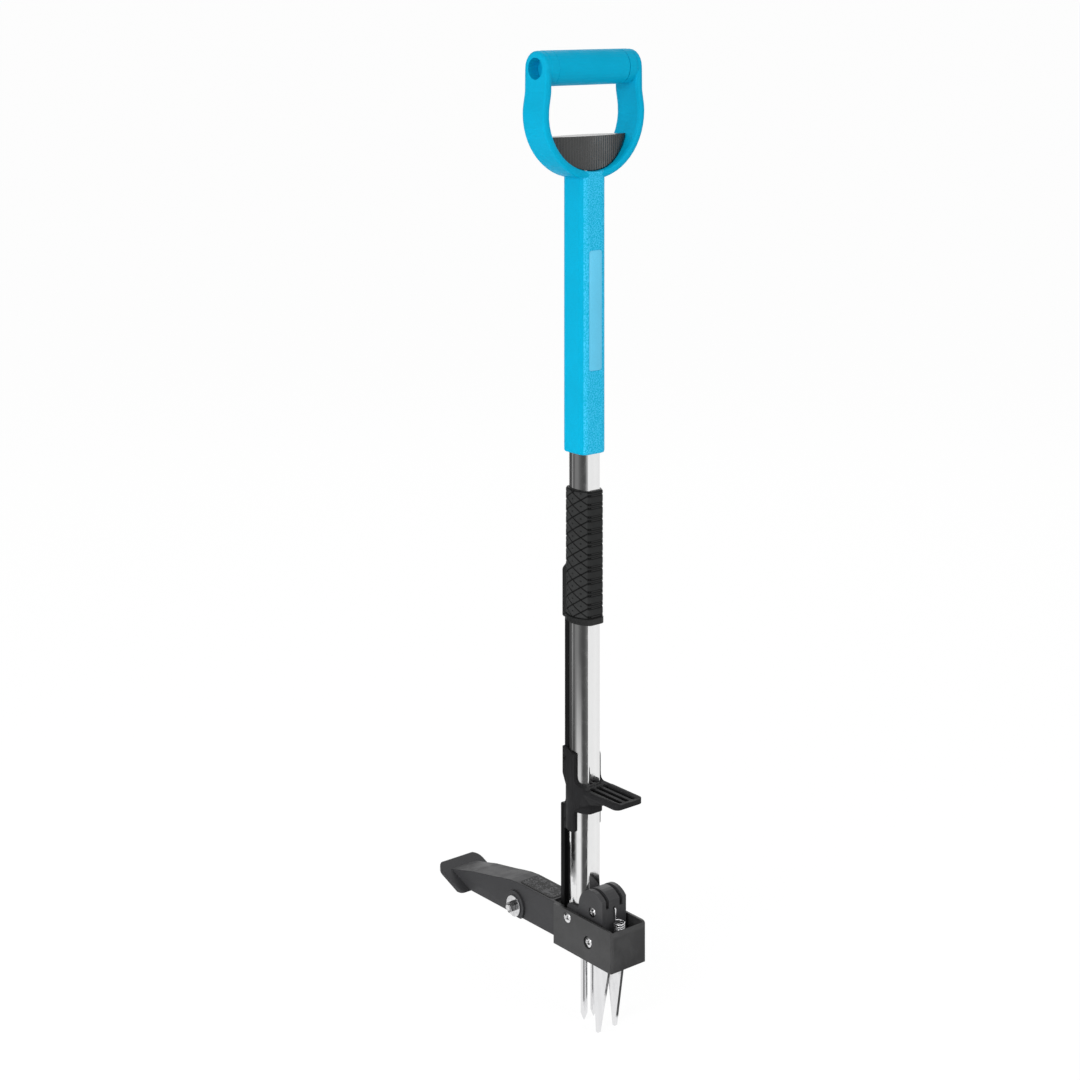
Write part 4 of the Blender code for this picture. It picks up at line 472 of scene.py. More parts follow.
def new_object(name, shape):
    """An object at the origin with a bmesh's shape. The bmesh is used up."""
    mesh = bpy.data.meshes.new(name)
    shape.to_mesh(mesh)
    shape.free()
    thing = bpy.data.objects.new(name, mesh)
    bpy.context.scene.collection.objects.link(thing)
    return thing


def finish_piece(shape, name, finish, body, angle=40):
    """Turns a bmesh into a piece that rides on its body, when one is given."""
    bmesh.ops.recalc_face_normals(shape, faces=shape.faces)
    piece = new_object(name, shape)
    piece.data.shade_smooth()
    piece.data.set_sharp_from_angle(angle=math.radians(angle))
    piece.data.materials.append(bpy.data.materials[finish])
    if body is not None:
        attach(piece, body)
    return piece


def merged_copy(node):
    """A bmesh of a CAD node with its loose triangles joined."""
    shape = bmesh.new()
    shape.from_mesh(frame["nodes"][node].data)
    weld(shape)
    return shape


def combine(shape, cutter, operation="DIFFERENCE", crossing=False):
    """Cuts the second bmesh from the first, or unites them, and returns the result as a new bmesh.

    A crossing cutter is made of solids that run through each other.
    """
    solid, tool = new_object("solid", shape), new_object("cutter", cutter)
    modifier = solid.modifiers.new("Cut", "BOOLEAN")
    modifier.operation = operation
    modifier.solver = "EXACT"
    modifier.use_self = crossing
    modifier.object = tool
    bpy.context.view_layer.update()
    result = bmesh.new()
    result.from_object(solid, bpy.context.evaluated_depsgraph_get())
    # A mesh takes its object with it
    for thing in (solid, tool):
        bpy.data.meshes.remove(thing.data)
    return result


def bevel(shape, edges, offset, segments):
    bmesh.ops.bevel(
        shape, geom=edges, offset=offset, affect="EDGES", segments=segments, profile=0.5,
        material=-1)


def edges_along(shape, axis, least):
    """The edges that run further along an axis than a least length."""
    return [
        edge for edge in shape.edges
        if abs(edge.verts[0].co[axis] - edge.verts[1].co[axis]) > least
    ]


def prism_between(points, low, high):
    """A closed prism with its outline, given as (x, z), drawn from one y to another."""
    shape = bmesh.new()
    face = shape.faces.new([shape.verts.new((x, low, z)) for x, z in points])
    grown = bmesh.ops.extrude_face_region(shape, geom=[face])["geom"]
    moved = [item for item in grown if isinstance(item, bmesh.types.BMVert)]
    bmesh.ops.translate(shape, verts=moved, vec=(0.0, high - low, 0.0))
    bmesh.ops.recalc_face_normals(shape, faces=shape.faces)
    return shape


def round_bar_across(x, z, radius):
    """A round bar along Y that reaches through the tube, to cut a hole with."""
    shape = bmesh.new()
    bmesh.ops.create_cone(
        shape, cap_ends=True, segments=40, radius1=radius, radius2=radius, depth=40 * MM,
        matrix=Matrix.Translation((x, 0.0, z)) @ Matrix.Rotation(math.radians(90), 4, "X"))
    return shape


def barrel_ring(count, inner, outer, low, high):
    """A ring of the tube's section between two offsets from it and two heights."""
    shape = bmesh.new()
    for offset in (inner, outer):
        section = tube_section(count, offset)
        made = bmesh.ops.create_cone(
            shape, cap_ends=False, segments=count, radius1=1.0, radius2=1.0, depth=1.0)["verts"]
        for vert in made:
            point = section_at(section, vert.co)[0]
            vert.co = (POLE_X + point.x, point.y, low if vert.co.z < 0 else high)
        if offset == inner:
            bmesh.ops.reverse_faces(shape, faces=shape.faces)
    for height in (low, high):
        rims = [
            edge for edge in open_edges(shape)
            if all(abs(vert.co.z - height) < WELD for vert in edge.verts)
        ]
        bmesh.ops.bridge_loops(shape, edges=rims)
    bmesh.ops.recalc_face_normals(shape, faces=shape.faces)
    return shape


def cross_cutter(centre, side, sizes):
    """A tapering cross that reaches into a screw head from its outer side, along Y."""
    shape = bmesh.new()
    for long_axis in (0, 2):
        size = [sizes.cross_width, 2 * sizes.cross_depth, sizes.cross_width]
        size[long_axis] = sizes.cross_length
        for vert in add_block(shape, size):
            if vert.co.y * side < 0:
                vert.co[long_axis] *= 0.55
    core = bmesh.ops.create_cone(
        shape, cap_ends=True, segments=12, radius1=0.62 * sizes.cross_width,
        radius2=1.15 * sizes.cross_width, depth=2.3 * sizes.cross_depth,
    )["verts"]
    bmesh.ops.rotate(shape, verts=core, matrix=Matrix.Rotation(math.radians(-90 * side), 3, "X"))
    bmesh.ops.rotate(shape, verts=shape.verts, matrix=Matrix.Rotation(math.radians(24), 3, "Y"))
    move(shape, centre)
    return shape


def tube_section(count, offset):
    """Points and outward normals round the tube's barrel section, set out by an offset.

    Each entry is (point, normal, arc length from the middle of its side, half of a side's length).
    """
    low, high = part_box("main_tube")
    half_depth = (high[0] - low[0]) / 2
    half_width = (high[1] - low[1]) / 2
    drop = (half_depth**2 + TUBE_FLAT_HALF**2 - half_width**2) / (2 * (half_width - TUBE_FLAT_HALF))
    radius = half_width + drop
    reach = half_depth - TUBE_CORNER
    rise = math.sqrt((radius - TUBE_CORNER) ** 2 - reach**2) - drop
    lean = math.atan2(rise + drop, reach)
    corner, bow = TUBE_CORNER + offset, radius + offset
    side = (math.pi - 2 * lean) * bow
    spans = [rise, lean * corner, side, lean * corner, rise]
    # radius, centre and first angle of the spans that are bent
    arcs = {
        1: (corner, (reach, rise), 0.0),
        2: (bow, (0.0, -drop), lean),
        3: (corner, (-reach, rise), math.pi - lean),
    }
    half_length = sum(spans)
    points = []
    for step in range(count):
        second, walk = divmod(step / count * 2 * half_length, half_length)
        sign = -1.0 if second else 1.0
        along, span = walk, 0
        while span < len(spans) - 1 and along > spans[span]:
            along -= spans[span]
            span += 1
        if span in arcs:
            bend, centre, start = arcs[span]
            angle = start + along / bend
            normal = (math.cos(angle), math.sin(angle))
            point = (centre[0] + normal[0] * bend, centre[1] + normal[1] * bend)
        elif span == 0:
            point, normal = (half_depth + offset, along), (1.0, 0.0)
        else:
            point, normal = (-half_depth - offset, rise - along), (-1.0, 0.0)
        points.append((
            sign * Vector(point), sign * Vector(normal), sign * (walk - half_length / 2), side / 2))
    return points


def section_at(section, spot):
    """The entry of the tube's section for a vertex of a round ring about the origin."""
    turn = math.atan2(spot.y, spot.x) / math.tau % 1.0
    return section[round(turn * len(section)) % len(section)]


# Operators, one for each piece or group of like pieces

class PULLER_OT_finishes(bpy.types.Operator):
    """Makes the finishes and gives each CAD node its own"""
    bl_idname = "puller.finishes"
    bl_label = "Give the parts their finishes"

    def execute(self, context):
        colours = context.scene.puller_colours
        groups = {"grain": moulded_grain(), "streaks": drawn_streaks(), "marks": handling_marks()}
        # Painted light and shade: paler copies of the one nylon for the lit carrier and lever, a
        # darker one for the shaded bar
        carrier, lever, bar = (toned(colours.nylon, share) for share in (2.2, 2.3, 0.4))
        # Painted shade and light: a darker copy of the rubber for the sleeve under the pads, a
        # paler one for the raised pads
        sleeve, raised = (toned(colours.rubber, share) for share in (0.5, 1.1))
        # name, colour, roughness, grain, its depth in mm, spread of tone, specular, then the top of
        # the paler face and the attribute that paints shade into the hollows
        for row in (
            ("blue moulding", colours.handle, 0.48, 1100.0, 0.10, 0.05, 0.06, SHAFT_TOP, None),
            ("blue panel", colours.handle, 0.48, 1100.0, 0.10, 0.05, 0.06, NO_LIMIT, None),
            ("blue grip", colours.handle, 0.52, 1300.0, 0.12, 0.05, 0.06, None, None),
            ("blank label", colours.label, 0.36, 1500.0, 0.03, 0.04, 0.25, None, None),
            ("black nylon", carrier, 0.38, 1200.0, 0.08, 0.16, 0.22, None, None),
            ("lever nylon", lever, 0.38, 1500.0, 0.05, 0.12, 0.10, None, None),
            ("step nylon", colours.nylon, 0.46, 1300.0, 0.07, 0.16, 0.04, None, "hollow"),
            ("bar plastic", bar, 0.40, 1400.0, 0.05, 0.12, 0.10, None, None),
            ("black rubber", sleeve, 0.46, 1600.0, 0.06, 0.14, 0.18, None, None),
            ("rubber pads", raised, 0.42, 1600.0, 0.06, 0.14, 0.04, None, "hollow"),
            ("button gloss", colours.button, 0.26, 900.0, 0.02, 0.10, 0.45, None, None),
        ):
            moulded_finish(groups, *row)
        # name, colour, roughness, streaks across and along, their contrast, then the turn of the
        # streaks and the attribute that paints shade into the recesses
        blade_turn = (0.0, math.radians(8), 0.0)
        for row in (
            ("drawn tube", colours.tube, 0.11, 520.0, 0.004, 0.05, None, None),
            ("bright steel", colours.steel, 0.16, 700.0, 0.02, 0.06, None, None),
            ("ground blade", colours.steel, 0.18, 900.0, 0.02, 0.05, blade_turn, None),
            ("zinc screw", colours.steel, 0.20, 1400.0, 1.0, 0.22, None, None),
            ("nut zinc", toned(colours.steel, 0.42), 0.22, 1400.0, 1.0, 0.22, None, None),
            ("crossed screw", colours.steel, 0.18, 1400.0, 1.0, 0.12, None, "hollow"),
            ("spring wire", colours.steel, 0.20, 1200.0, 1.0, 0.18, None, None),
        ):
            metal_finish(groups, *row)
        powder_coat(groups, "powder coat", colours.coating)
        mottled_pad(groups, "mottled pad", colours.pad)
        dressed = {
            "blue moulding": ["handle_shell"],
            "blue grip": ["grip_sleeve"],
            "button gloss": ["release_button"],
            "black nylon": ["claw_carrier", "foot_step", "lock_stem", "tube_cap", "tine_plug"],
            "lever nylon": ["pedal_arm"],
            "black rubber": ["eject_sleeve"],
            "bar plastic": ["upper_bar", "lower_bar", "lower_bar_rivet", "upper_bar_rivet"],
            "powder coat": ["base_housing"],
            "mottled pad": ["tread_pad"],
            "drawn tube": ["main_tube"],
            "bright steel": ["rear_tine_left", "rear_tine_right", "button_rod", "lock_shoe"],
            "ground blade": ["front_claw_left", "front_claw_right", "ejector_plate"],
            "spring wire": ["return_spring", "button_spring"],
            "nut zinc": ["arm_nut"],
            "zinc screw": [
                "pivot_bolt", "guide_bolt", "arm_bolt", "arm_washer_near", "arm_washer_far",
                "carrier_pin", "carrier_rivet", "plate_rivet",
            ],
        }
        for name, nodes in dressed.items():
            for node in nodes:
                data = frame["nodes"][node].data
                data.materials.clear()
                data.materials.append(bpy.data.materials[name])
        missing = set(frame["nodes"]) - {node for nodes in dressed.values() for node in nodes}
        if missing:
            raise RuntimeError("nodes without a finish: " + ", ".join(sorted(missing)))
        return {"FINISHED"}


class PULLER_OT_tube(bpy.types.Operator):
    """Draws the tube anew with smooth bowed sides, for clean reflections"""
    bl_idname = "puller.tube"
    bl_label = "Draw the tube"

    def execute(self, context):
        sizes = context.scene.puller_tube
        low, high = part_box("main_tube")
        shape = barrel_ring(sizes.around, -sizes.wall, 0.0, low[2], high[2])
        for node in ("pivot_bolt", "carrier_rivet"):
            start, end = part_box(node)
            radius = PIVOT_HOLE if node == "pivot_bolt" else (end[0] - start[0]) / 2 + 0.1 * MM
            x, _y, z = middle(start, end)
            shape = combine(shape, round_bar_across(x, z, radius))
        piece = finish_piece(shape, "drawn_tube", "drawn tube", "pole", 32)
        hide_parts("main_tube")
        return {"FINISHED"}


class PULLER_OT_neck(bpy.types.Operator):
    """Carries the front face of the handle's shaft up over the rim of the bowl"""
    bl_idname = "puller.neck"
    bl_label = "Carry the shaft's face over the bowl"

    def execute(self, context):
        sizes = context.scene.puller_neck
        low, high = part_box("grip_sleeve")
        bowl = middle(low, high)[2] - sizes.under_grip
        shape = bmesh.new()
        bmesh.ops.create_cube(shape, size=2.0)
        bmesh.ops.subdivide_edges(
            shape, edges=edges_along(shape, 1, 1.0), cuts=31, use_grid_fill=True)
        for vert in shape.verts:
            y = sizes.half_width * vert.co.y
            beyond = max(0.0, abs(y) - sizes.flat_half)
            front = sizes.corner_middle + math.sqrt(sizes.corner**2 - beyond**2)
            top = bowl - math.sqrt(sizes.bowl**2 - y**2)
            vert.co = (
                POLE_X + (front if vert.co.x > 0 else sizes.back), y,
                top if vert.co.z > 0 else bowl - sizes.drop)
        finish_piece(shape, "neck_face", "blue panel", "handle")
        return {"FINISHED"}


class PULLER_OT_step(bpy.types.Operator):
    """Finishes the foot step with open ribs, trimmed cheeks and a band across the tube's front"""
    bl_idname = "puller.step"
    bl_label = "Finish the foot step"

    def execute(self, context):
        sizes = context.scene.puller_step
        low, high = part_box("foot_step")
        top = named(frame["record"]["mounts"], "step_tread")["pos_m"][2]
        shape = merged_copy("foot_step")
        band = barrel_ring(
            count=160, inner=0.45 * MM, outer=2.4 * MM, low=top - sizes.band, high=top - 0.4 * MM)
        bmesh.ops.bisect_plane(
            band, geom=band.verts[:] + band.edges[:] + band.faces[:],
            plane_co=(POLE_X + 2 * MM, 0, 0), plane_no=(1, 0, 0), clear_inner=True)
        bmesh.ops.holes_fill(band, edges=open_edges(band))
        bmesh.ops.recalc_face_normals(band, faces=band.faces)
        # Outlines to trim along, in mm in front of the pole's axis and above the tread
        above = [
            (2.4, 34.0), (2.4, 8.6), (3.0, 5.2), (4.6, 2.8), (7.6, 1.4), (12.0, 0.8),
            (30.0, 0.6), (30.0, 34.0),
        ]
        far_above = [(max(x, 7.2 + 0.6 * (x - 2.4)) if x < 12.0 else x, z) for x, z in above]
        below = [
            (1.6, -60.0), (1.6, -30.4), (3.0, -26.2), (6.4, -22.6), (12.0, -19.2), (20.0, -15.6),
            (27.7, -11.6), (27.7, -60.0),
        ]
        reach = 0.03
        for outline, start, end in ((above, -reach, 0), (far_above, 0, reach), (below, -reach, 0)):
            points = [(POLE_X + x * MM, top + z * MM) for x, z in outline]
            shape = combine(shape, prism_between(points, start, end))
        shape = combine(shape, band, "UNION")
        start = POLE_X + sizes.rib_start
        end = high[0] - sizes.margin
        for place in (-1, 0, 1):
            groove = bmesh.new()
            add_block(groove, (end - start, sizes.groove, 2 * sizes.depth))
            bevel(groove, edges_along(groove, 2, MM), 0.42 * sizes.groove, 5)
            move(groove, ((start + end) / 2, place * sizes.pitch, top))
            shape = combine(shape, groove)
        # Painted shade on the groove floors, through this attribute
        hollow = shape.verts.layers.float.new("hollow")
        for vert in shape.verts:
            deep = top - sizes.depth - 0.2 * MM < vert.co.z < top - 0.6 * sizes.depth
            if deep and start - MM < vert.co.x < end + MM and abs(vert.co.y) < 12 * MM:
                vert[hollow] = 1.0
        weld(shape)
        piece = finish_piece(shape, "ribbed_step", "step nylon", "ejector", 32)
        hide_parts("foot_step")
        return {"FINISHED"}


class PULLER_OT_sleeve_pads(bpy.types.Operator):
    """Covers the hand sleeve with diamond pads, which run on as bars over the flat front"""
    bl_idname = "puller.sleeve_pads"
    bl_label = "Make the sleeve's pads"

    def execute(self, context):
        sizes = context.scene.puller_sleeve
        low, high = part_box("eject_sleeve")
        bottom = low[2] + sizes.collar
        top = high[2] - 0.4 * MM
        section = tube_section(sizes.around, sizes.wall)
        shape = bmesh.new()
        bmesh.ops.create_cone(
            shape, cap_ends=False, segments=sizes.around, radius1=1.0, radius2=1.0, depth=2.0)
        hollow = shape.verts.layers.float.new("hollow")
        bmesh.ops.subdivide_edges(
            shape, edges=edges_along(shape, 2, 1.0), cuts=sizes.rings - 1, use_grid_fill=True)
        for vert in shape.verts:
            point, normal, arc, side_half = section_at(section, vert.co)
            height = bottom + (vert.co.z + 1.0) / 2.0 * (top - bottom)
            out = self.pad_height(sizes, arc, side_half, height - bottom, top - height)
            # Painted shade: the flat front and back are darker, and the grooves and dimples darker
            # still
            flat_shade = 0.0 if abs(arc) < side_half else 0.3
            vert[hollow] = max(flat_shade, min(1.0, 1.0 - out / sizes.proud))
            vert.co = (POLE_X + point.x + normal.x * out, point.y + normal.y * out, height)
        grown = bmesh.ops.extrude_edge_only(shape, edges=open_edges(shape))["geom"]
        # The inner wall lies inside the solid sleeve, at these shares of the outer depth and width
        depth_share, width_share = 0.955, 0.945
        for vert in (item for item in grown if isinstance(item, bmesh.types.BMVert)):
            vert.co.x = POLE_X + (vert.co.x - POLE_X) * depth_share
            vert.co.y *= width_share
        bmesh.ops.bridge_loops(shape, edges=open_edges(shape))
        finish_piece(shape, "sleeve_pads", "rubber pads", "ejector", 60)
        return {"FINISHED"}

    @staticmethod
    def pad_height(sizes, arc, side_half, from_bottom, from_top):
        """How far the skin stands out: pads with a dimple between two families of grooves."""
        pitch = sizes.pitch
        on_side = abs(arc) < side_half
        run = max(-side_half, min(side_half, arc)) * sizes.slope
        depth = 0.0
        first = (from_bottom - run) / pitch
        second = (from_bottom + run) / pitch
        width = sizes.groove * (1.0 if on_side else 2.1)
        for phase in (first, second):
            away = abs(phase - round(phase)) * pitch
            depth = max(depth, 1.0 - min(1.0, away / width) ** 2)
        if on_side:
            across = abs(first - math.floor(first) - 0.5) * pitch
            along = abs(second - math.floor(second) - 0.5) * pitch
            away = math.hypot(across, along)
            depth = max(depth, 0.8 * (1.0 - min(1.0, away / sizes.dot) ** 2))
        end = min(1.0, min(from_bottom, from_top) / (1.2 * MM))
        return sizes.proud * (1.0 - depth) * end - 0.05 * MM


class PULLER_OT_screws(bpy.types.Operator):
    """Cuts cross recesses into the screws of the pole, the guide and the claws"""
    bl_idname = "puller.screws"
    bl_label = "Cut the screws' recesses"

    def execute(self, context):
        sizes = context.scene.puller_screws
        for node, body in (("pivot_bolt", "base"), ("guide_bolt", "base"), ("carrier_pin", "pole")):
            low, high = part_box(node)
            x, _y, z = middle(low, high)
            shape = merged_copy(node)
            for side, y in ((-1, low[1]), (1, high[1])):
                cutter = cross_cutter(Vector((x, y, z)), side, sizes)
                shape = combine(shape, cutter, crossing=True)
            weld(shape)
            # Painted shade in the cross recesses, through this attribute
            hollow = shape.verts.layers.float.new("hollow")
            for vert in shape.verts:
                near = math.hypot(vert.co.x - x, vert.co.z - z) < 0.6 * sizes.cross_length
                depth = min(vert.co.y - low[1], high[1] - vert.co.y)
                vert[hollow] = float(near and 0.4 * MM < depth < 2 * sizes.cross_depth)
            piece = finish_piece(
                shape, node + "_crossed", "crossed screw", body, 30)
            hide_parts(node)
        return {"FINISHED"}


class PULLER_OT_lever_bolt(bpy.types.Operator):
    """Threads the end of the lever's cross bolt that stands out of its nut"""
    bl_idname = "puller.lever_bolt"
    bl_label = "Thread the lever's bolt"

    def execute(self, context):
        sizes = context.scene.puller_screws
        pitch, radius = sizes.thread_pitch, sizes.thread_radius
        bolt_low, bolt_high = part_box("arm_bolt")
        nut_low, nut_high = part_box("arm_nut")
        x, _y, z = middle(nut_low, nut_high)
        near = abs(nut_low[1]) > abs(nut_high[1])
        side, face, tip = (
            (-1.0, nut_low[1], bolt_low[1]) if near else (1.0, nut_high[1], bolt_high[1]))
        shape = bmesh.new()
        turns = max(2, int(abs(tip - face) / pitch))
        root, crest, inside = radius - 0.10 * MM, radius + 0.16 * MM, radius - 0.7 * MM
        profile = []
        for turn in range(turns):
            start = face + side * (turn * pitch + 0.1 * pitch)
            profile += [(start, root), (start + side * 0.4 * pitch, crest)]
        profile.append((face + side * turns * pitch, root))
        profile += [(profile[end][0], inside) for end in (-1, 0)]
        ring = [shape.verts.new((0.0, along, out)) for along, out in profile]
        edges = [shape.edges.new(pair) for pair in zip(ring, ring[1:] + ring[:1])]
        bmesh.ops.spin(
            shape, geom=ring + edges, cent=(0, 0, 0), axis=(0, 1, 0), angle=math.tau, steps=32,
            use_merge=True)
        move(shape, (x, 0.0, z))
        weld(shape)
        finish_piece(shape, "lever_bolt_thread", "zinc screw", "base", 30)
        return {"FINISHED"}


class PULLER_OT_springs(bpy.types.Operator):
    """Copies the return spring in place on no body, and the button's spring onto the button with
    its own mesh
    """
    bl_idname = "puller.springs"
    bl_label = "Let the springs follow"

    def execute(self, context):
        wire = "spring wire"
        coil = finish_piece(merged_copy("return_spring"), "return_coil", wire, None)
        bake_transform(coil)
        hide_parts("return_spring")
        coil = finish_piece(
            merged_copy("button_spring"), "button_coil", wire, "button")
        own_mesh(coil)
        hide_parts("button_spring")
        return {"FINISHED"}


class PULLER_OT_label(bpy.types.Operator):
    """Lays a bare plate into the recess on the front of the handle's shaft"""
    bl_idname = "puller.label"
    bl_label = "Lay the blank label"

    def execute(self, context):
        sizes = context.scene.puller_label
        ground = Vector(named(frame["record"]["mounts"], "label_plate")["pos_m"])
        shape = bmesh.new()
        add_block(shape, (sizes.thickness, sizes.width, sizes.height))
        bevel(shape, edges_along(shape, 0, 0.5 * sizes.thickness), sizes.corner, 8)
        rim = [
            edge for edge in shape.edges
            if min(vert.co.x for vert in edge.verts) > 0.4 * sizes.thickness
        ]
        bevel(shape, rim, 0.12 * MM, 2)
        move(shape, ground + Vector((sizes.thickness / 2 + 0.02 * MM, 0, 0)))
        finish_piece(shape, "blank_label", "blank label", "handle", 30)
        return {"FINISHED"}


class PULLER_OT_stage(bpy.types.Operator):
    """Sets the floor, the soft light and the camera"""
    bl_idname = "puller.stage"
    bl_label = "Set the stage"

    def execute(self, context):
        scene = context.scene
        settings = scene.puller_studio
        self.lay_floor()
        self.light_world(scene, settings.sky)
        self.hang_card(settings)
        # name, start and end in degrees, inner and outer radius in metres, shade
        for card in (
            ("dark_floor_card", -126.0, -68.0, 0.26, CARD_REACH, None),
            ("left_floor_card", -170.0, -126.0, 0.35, CARD_REACH, None),
            ("near_floor_card", -76.0, -4.0, 0.055, 0.16, 1.6 * settings.grey_card),
            ("front_floor_card", 20.0, 80.0, 0.05, 0.30, settings.dark_card),
        ):
            self.lay_card(settings, *card)
        # name, place, height of its aim, size and power
        for name, place, aim, size, power in (
            ("key light", (1.05, -2.55, 1.6), 0.5, 1.6, settings.key),
            ("fill light", (2.7, 0.5, 1.2), 0.5, 1.5, settings.fill),
            ("back light", (-1.8, 1.6, 2.0), 0.5, 1.4, 0.4 * settings.fill),
            ("low light", (-0.25, -0.95, 0.2), 0.06, 0.4, settings.low),
        ):
            lamp = bpy.data.lights.new(name, "AREA")
            lamp.shape = "DISK"
            lamp.size = size
            lamp.energy = power
            holder = bpy.data.objects.new(name, lamp)
            holder.location = place
            holder.visible_camera = False
            holder.visible_glossy = name != "low light"
            towards = Vector((POLE_X, 0.0, aim)) - Vector(place)
            holder.rotation_euler = towards.to_track_quat("-Z", "Y").to_euler()
            scene.collection.objects.link(holder)
        optics = bpy.data.cameras.new("camera")
        optics.sensor_fit = "HORIZONTAL"
        optics.sensor_width = 36.0
        optics.lens = settings.lens
        optics.shift_y = settings.rise
        optics.clip_end = 1000.0
        camera = bpy.data.objects.new("camera", optics)
        camera.location = settings.eye
        camera.rotation_euler = (math.radians(90), 0.0, math.radians(settings.heading))
        scene.collection.objects.link(camera)
        scene.camera = camera
        scene.view_settings.view_transform = "Standard"
        return {"FINISHED"}

    def hang_card(self, settings):
        """A curved card beside the tool that polished parts see, dark at its near end."""
        def spot(across, up):
            turn = CARD_MIDDLE + CARD_HALF_TURN * across
            height = CARD_HALF_HEIGHT * (1.0 + up)
            return turn, CARD_REACH, height, self.card_shade(turn, height, settings)

        self.make_card("curved_card", 110, 30, spot)

    @staticmethod
    def card_shade(turn, height, settings):
        """The card's shade at an azimuth in degrees and a height in metres."""
        def clamp(value, low=0.0, high=1.0):
            return max(low, min(high, value))

        def hump(centre, half_width):
            return max(0.0, 1.0 - ((turn - centre) / half_width) ** 2)

        dark, dip, line = hump(-90.0, 28.0), hump(-144.0, 9.0), hump(-157.0, 5.0)
        edge = clamp((-160.0 - turn) / 4.0)
        pale = clamp((turn + 78.0) / 12.0) * clamp(2.6 * (height - 0.25), 0.1, 0.9)
        grey, black = settings.grey_card, settings.dark_card
        upper = grey + (black - grey) * max(dark, 0.7 * dip, edge)
        upper += (1.0 - upper) * max(0.18 * line, pale)
        # The foot of the card has a pale patch of its own, for the tines and the tube's lower end
        rise = clamp((turn + 146.0) / 24.0) ** 2
        fall = clamp(max(0.0, (-86.0 - turn) / 17.0) ** 2, 0.09)
        return upper + (max(0.02, rise * fall) - upper) * clamp(1.0 - height / 0.2)

    def lay_card(self, settings, name, start, end, inner, outer, level):
        """A sector of card on the floor, in one shade or else like the curved card's foot."""
        def spot(across, out):
            turn = start + (end - start) * (across + 1.0) / 2
            shade = self.card_shade(turn, 0.0, settings) if level is None else level
            return turn, inner + (outer - inner) * (out + 1.0) / 2, -0.1 * MM, shade

        self.make_card(name, 60, 1, spot)

    @staticmethod
    def make_card(name, columns, rows, spot):
        """A card that glows in its own shade and that only mirrors see.

        The function spot gives an azimuth, a distance from the pole, a height and a shade.
        """
        shape = bmesh.new()
        bmesh.ops.create_grid(shape, x_segments=columns, y_segments=rows, size=1.0)
        shades = shape.verts.layers.float.new("shade")
        for vert in shape.verts:
            turn, reach, height, vert[shades] = spot(vert.co.x, vert.co.y)
            angle = math.radians(turn)
            vert.co = (POLE_X + reach * math.cos(angle), reach * math.sin(angle), height)
        card = new_object(name, shape)
        material, tree, shader = new_material(name.replace("_", " "))
        tree.nodes.remove(shader)
        shade = add(tree, "ShaderNodeAttribute", attribute_name="shade")
        glow = add(tree, "ShaderNodeEmission", Color=shade.outputs["Fac"], Strength=1.0)
        tree.links.new(glow.outputs[0], tree.nodes["Material Output"].inputs["Surface"])
        card.data.materials.append(material)
        for ray in ("camera", "diffuse", "transmission", "shadow"):
            setattr(card, "visible_" + ray, False)

    @staticmethod
    def lay_floor():
        """A matt floor that takes the shadow and looks white, also in the metal."""
        shape = bmesh.new()
        bmesh.ops.create_grid(shape, x_segments=2, y_segments=2, size=400.0)
        move(shape, (0.0, 0.0, -0.3 * MM))
        floor = new_object("studio_floor", shape)
        material, tree, shader = new_material("studio floor")
        grey = (0.80, 0.80, 0.80, 1.0)
        fill(tree, shader, Base_Color=grey, Roughness=0.9, Specular_IOR_Level=0.0)
        white = add(tree, "ShaderNodeEmission", Color=WHITE, Strength=1.06)
        seen = rays(tree, "Is Camera Ray", "Is Glossy Ray")
        share = calculate(tree, "MULTIPLY", seen, 0.86)
        mix_shaders(tree, share, shader.outputs[0], white.outputs[0], "Material Output")
        floor.data.materials.append(material)

    @staticmethod
    def light_world(scene, strength):
        """Even light on the object, in front of a white backdrop."""
        world = bpy.data.worlds.new("studio")
        scene.world = world
        world.use_nodes = True
        tree = world.node_tree
        even = tree.nodes["Background"]
        fill(tree, even, Color=WHITE, Strength=strength)
        backdrop = add(tree, "ShaderNodeBackground", Color=WHITE, Strength=1.0)
        seen = rays(tree, "Is Camera Ray", "Is Glossy Ray", "Is Transmission Ray")
        mix_shaders(tree, seen, even.outputs[0], backdrop.outputs[0], "World Output")


class PULLER_PT_panel(bpy.types.Panel):
    """Lists the sizes, the colours and the steps"""
    bl_idname = "PULLER_PT_panel"
    bl_label = "Weed puller"
    bl_space_type = "VIEW_3D"
    bl_region_type = "UI"
    bl_category = "Weed puller"

    def draw(self, context):
        for name, _group in SETTINGS:
            box = self.layout.box()
            box.label(text=name.removeprefix("puller_").title())
            settings = getattr(context.scene, name)
            for key in settings.__annotations__:
                box.prop(settings, key)
        for operator in STEPS:
            self.layout.operator(operator.bl_idname)


SETTINGS = (
    ("puller_colours", FinishColours),
    ("puller_tube", TubeSizes),
    ("puller_sleeve", SleeveSizes),
    ("puller_step", StepSizes),
    ("puller_neck", NeckSizes),
    ("puller_screws", ScrewSizes),
    ("puller_label", LabelSizes),
    ("puller_studio", StudioSettings),
)
STEPS = (
    PULLER_OT_finishes, PULLER_OT_tube, PULLER_OT_sleeve_pads, PULLER_OT_step, PULLER_OT_neck,
    PULLER_OT_screws, PULLER_OT_lever_bolt, PULLER_OT_springs, PULLER_OT_label, PULLER_OT_stage,
)


def register():
    for name, group in SETTINGS:
        bpy.utils.register_class(group)
        setattr(bpy.types.Scene, name, bpy.props.PointerProperty(type=group))
    for operator in STEPS:
        bpy.utils.register_class(operator)
    bpy.utils.register_class(PULLER_PT_panel)


def unregister():
    bpy.utils.unregister_class(PULLER_PT_panel)
    for operator in reversed(STEPS):
        bpy.utils.unregister_class(operator)
    for name, group in SETTINGS:
        delattr(bpy.types.Scene, name)
        bpy.utils.unregister_class(group)


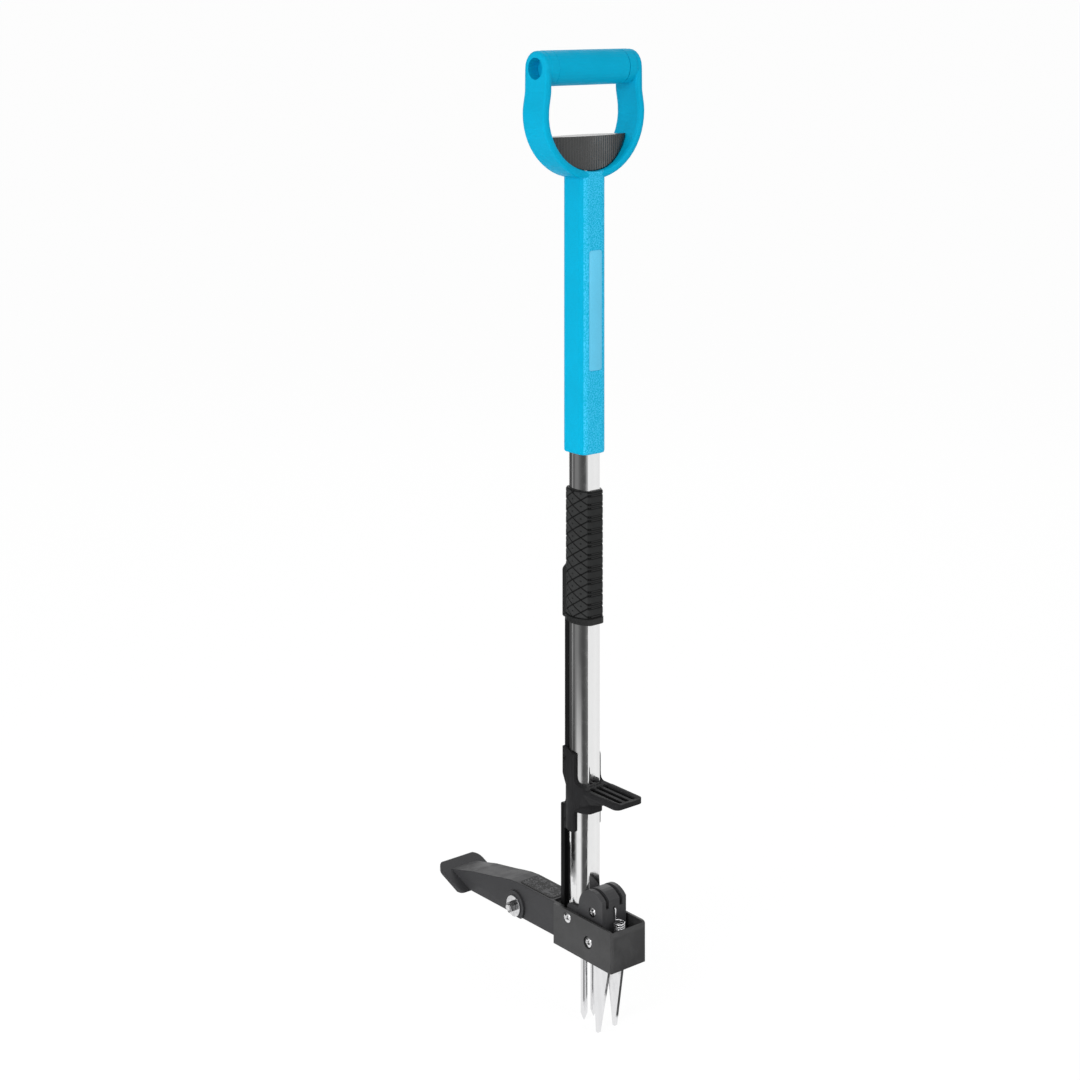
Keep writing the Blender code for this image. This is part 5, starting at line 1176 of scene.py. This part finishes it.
def main():
    register()
    bpy.ops.puller.finishes()
    bpy.ops.puller.tube()
    bpy.ops.puller.sleeve_pads()
    bpy.ops.puller.step()
    bpy.ops.puller.neck()
    bpy.ops.puller.screws()
    bpy.ops.puller.lever_bolt()
    bpy.ops.puller.springs()
    bpy.ops.puller.label()
    bpy.ops.puller.stage()


if __name__ == "__main__":
    main()
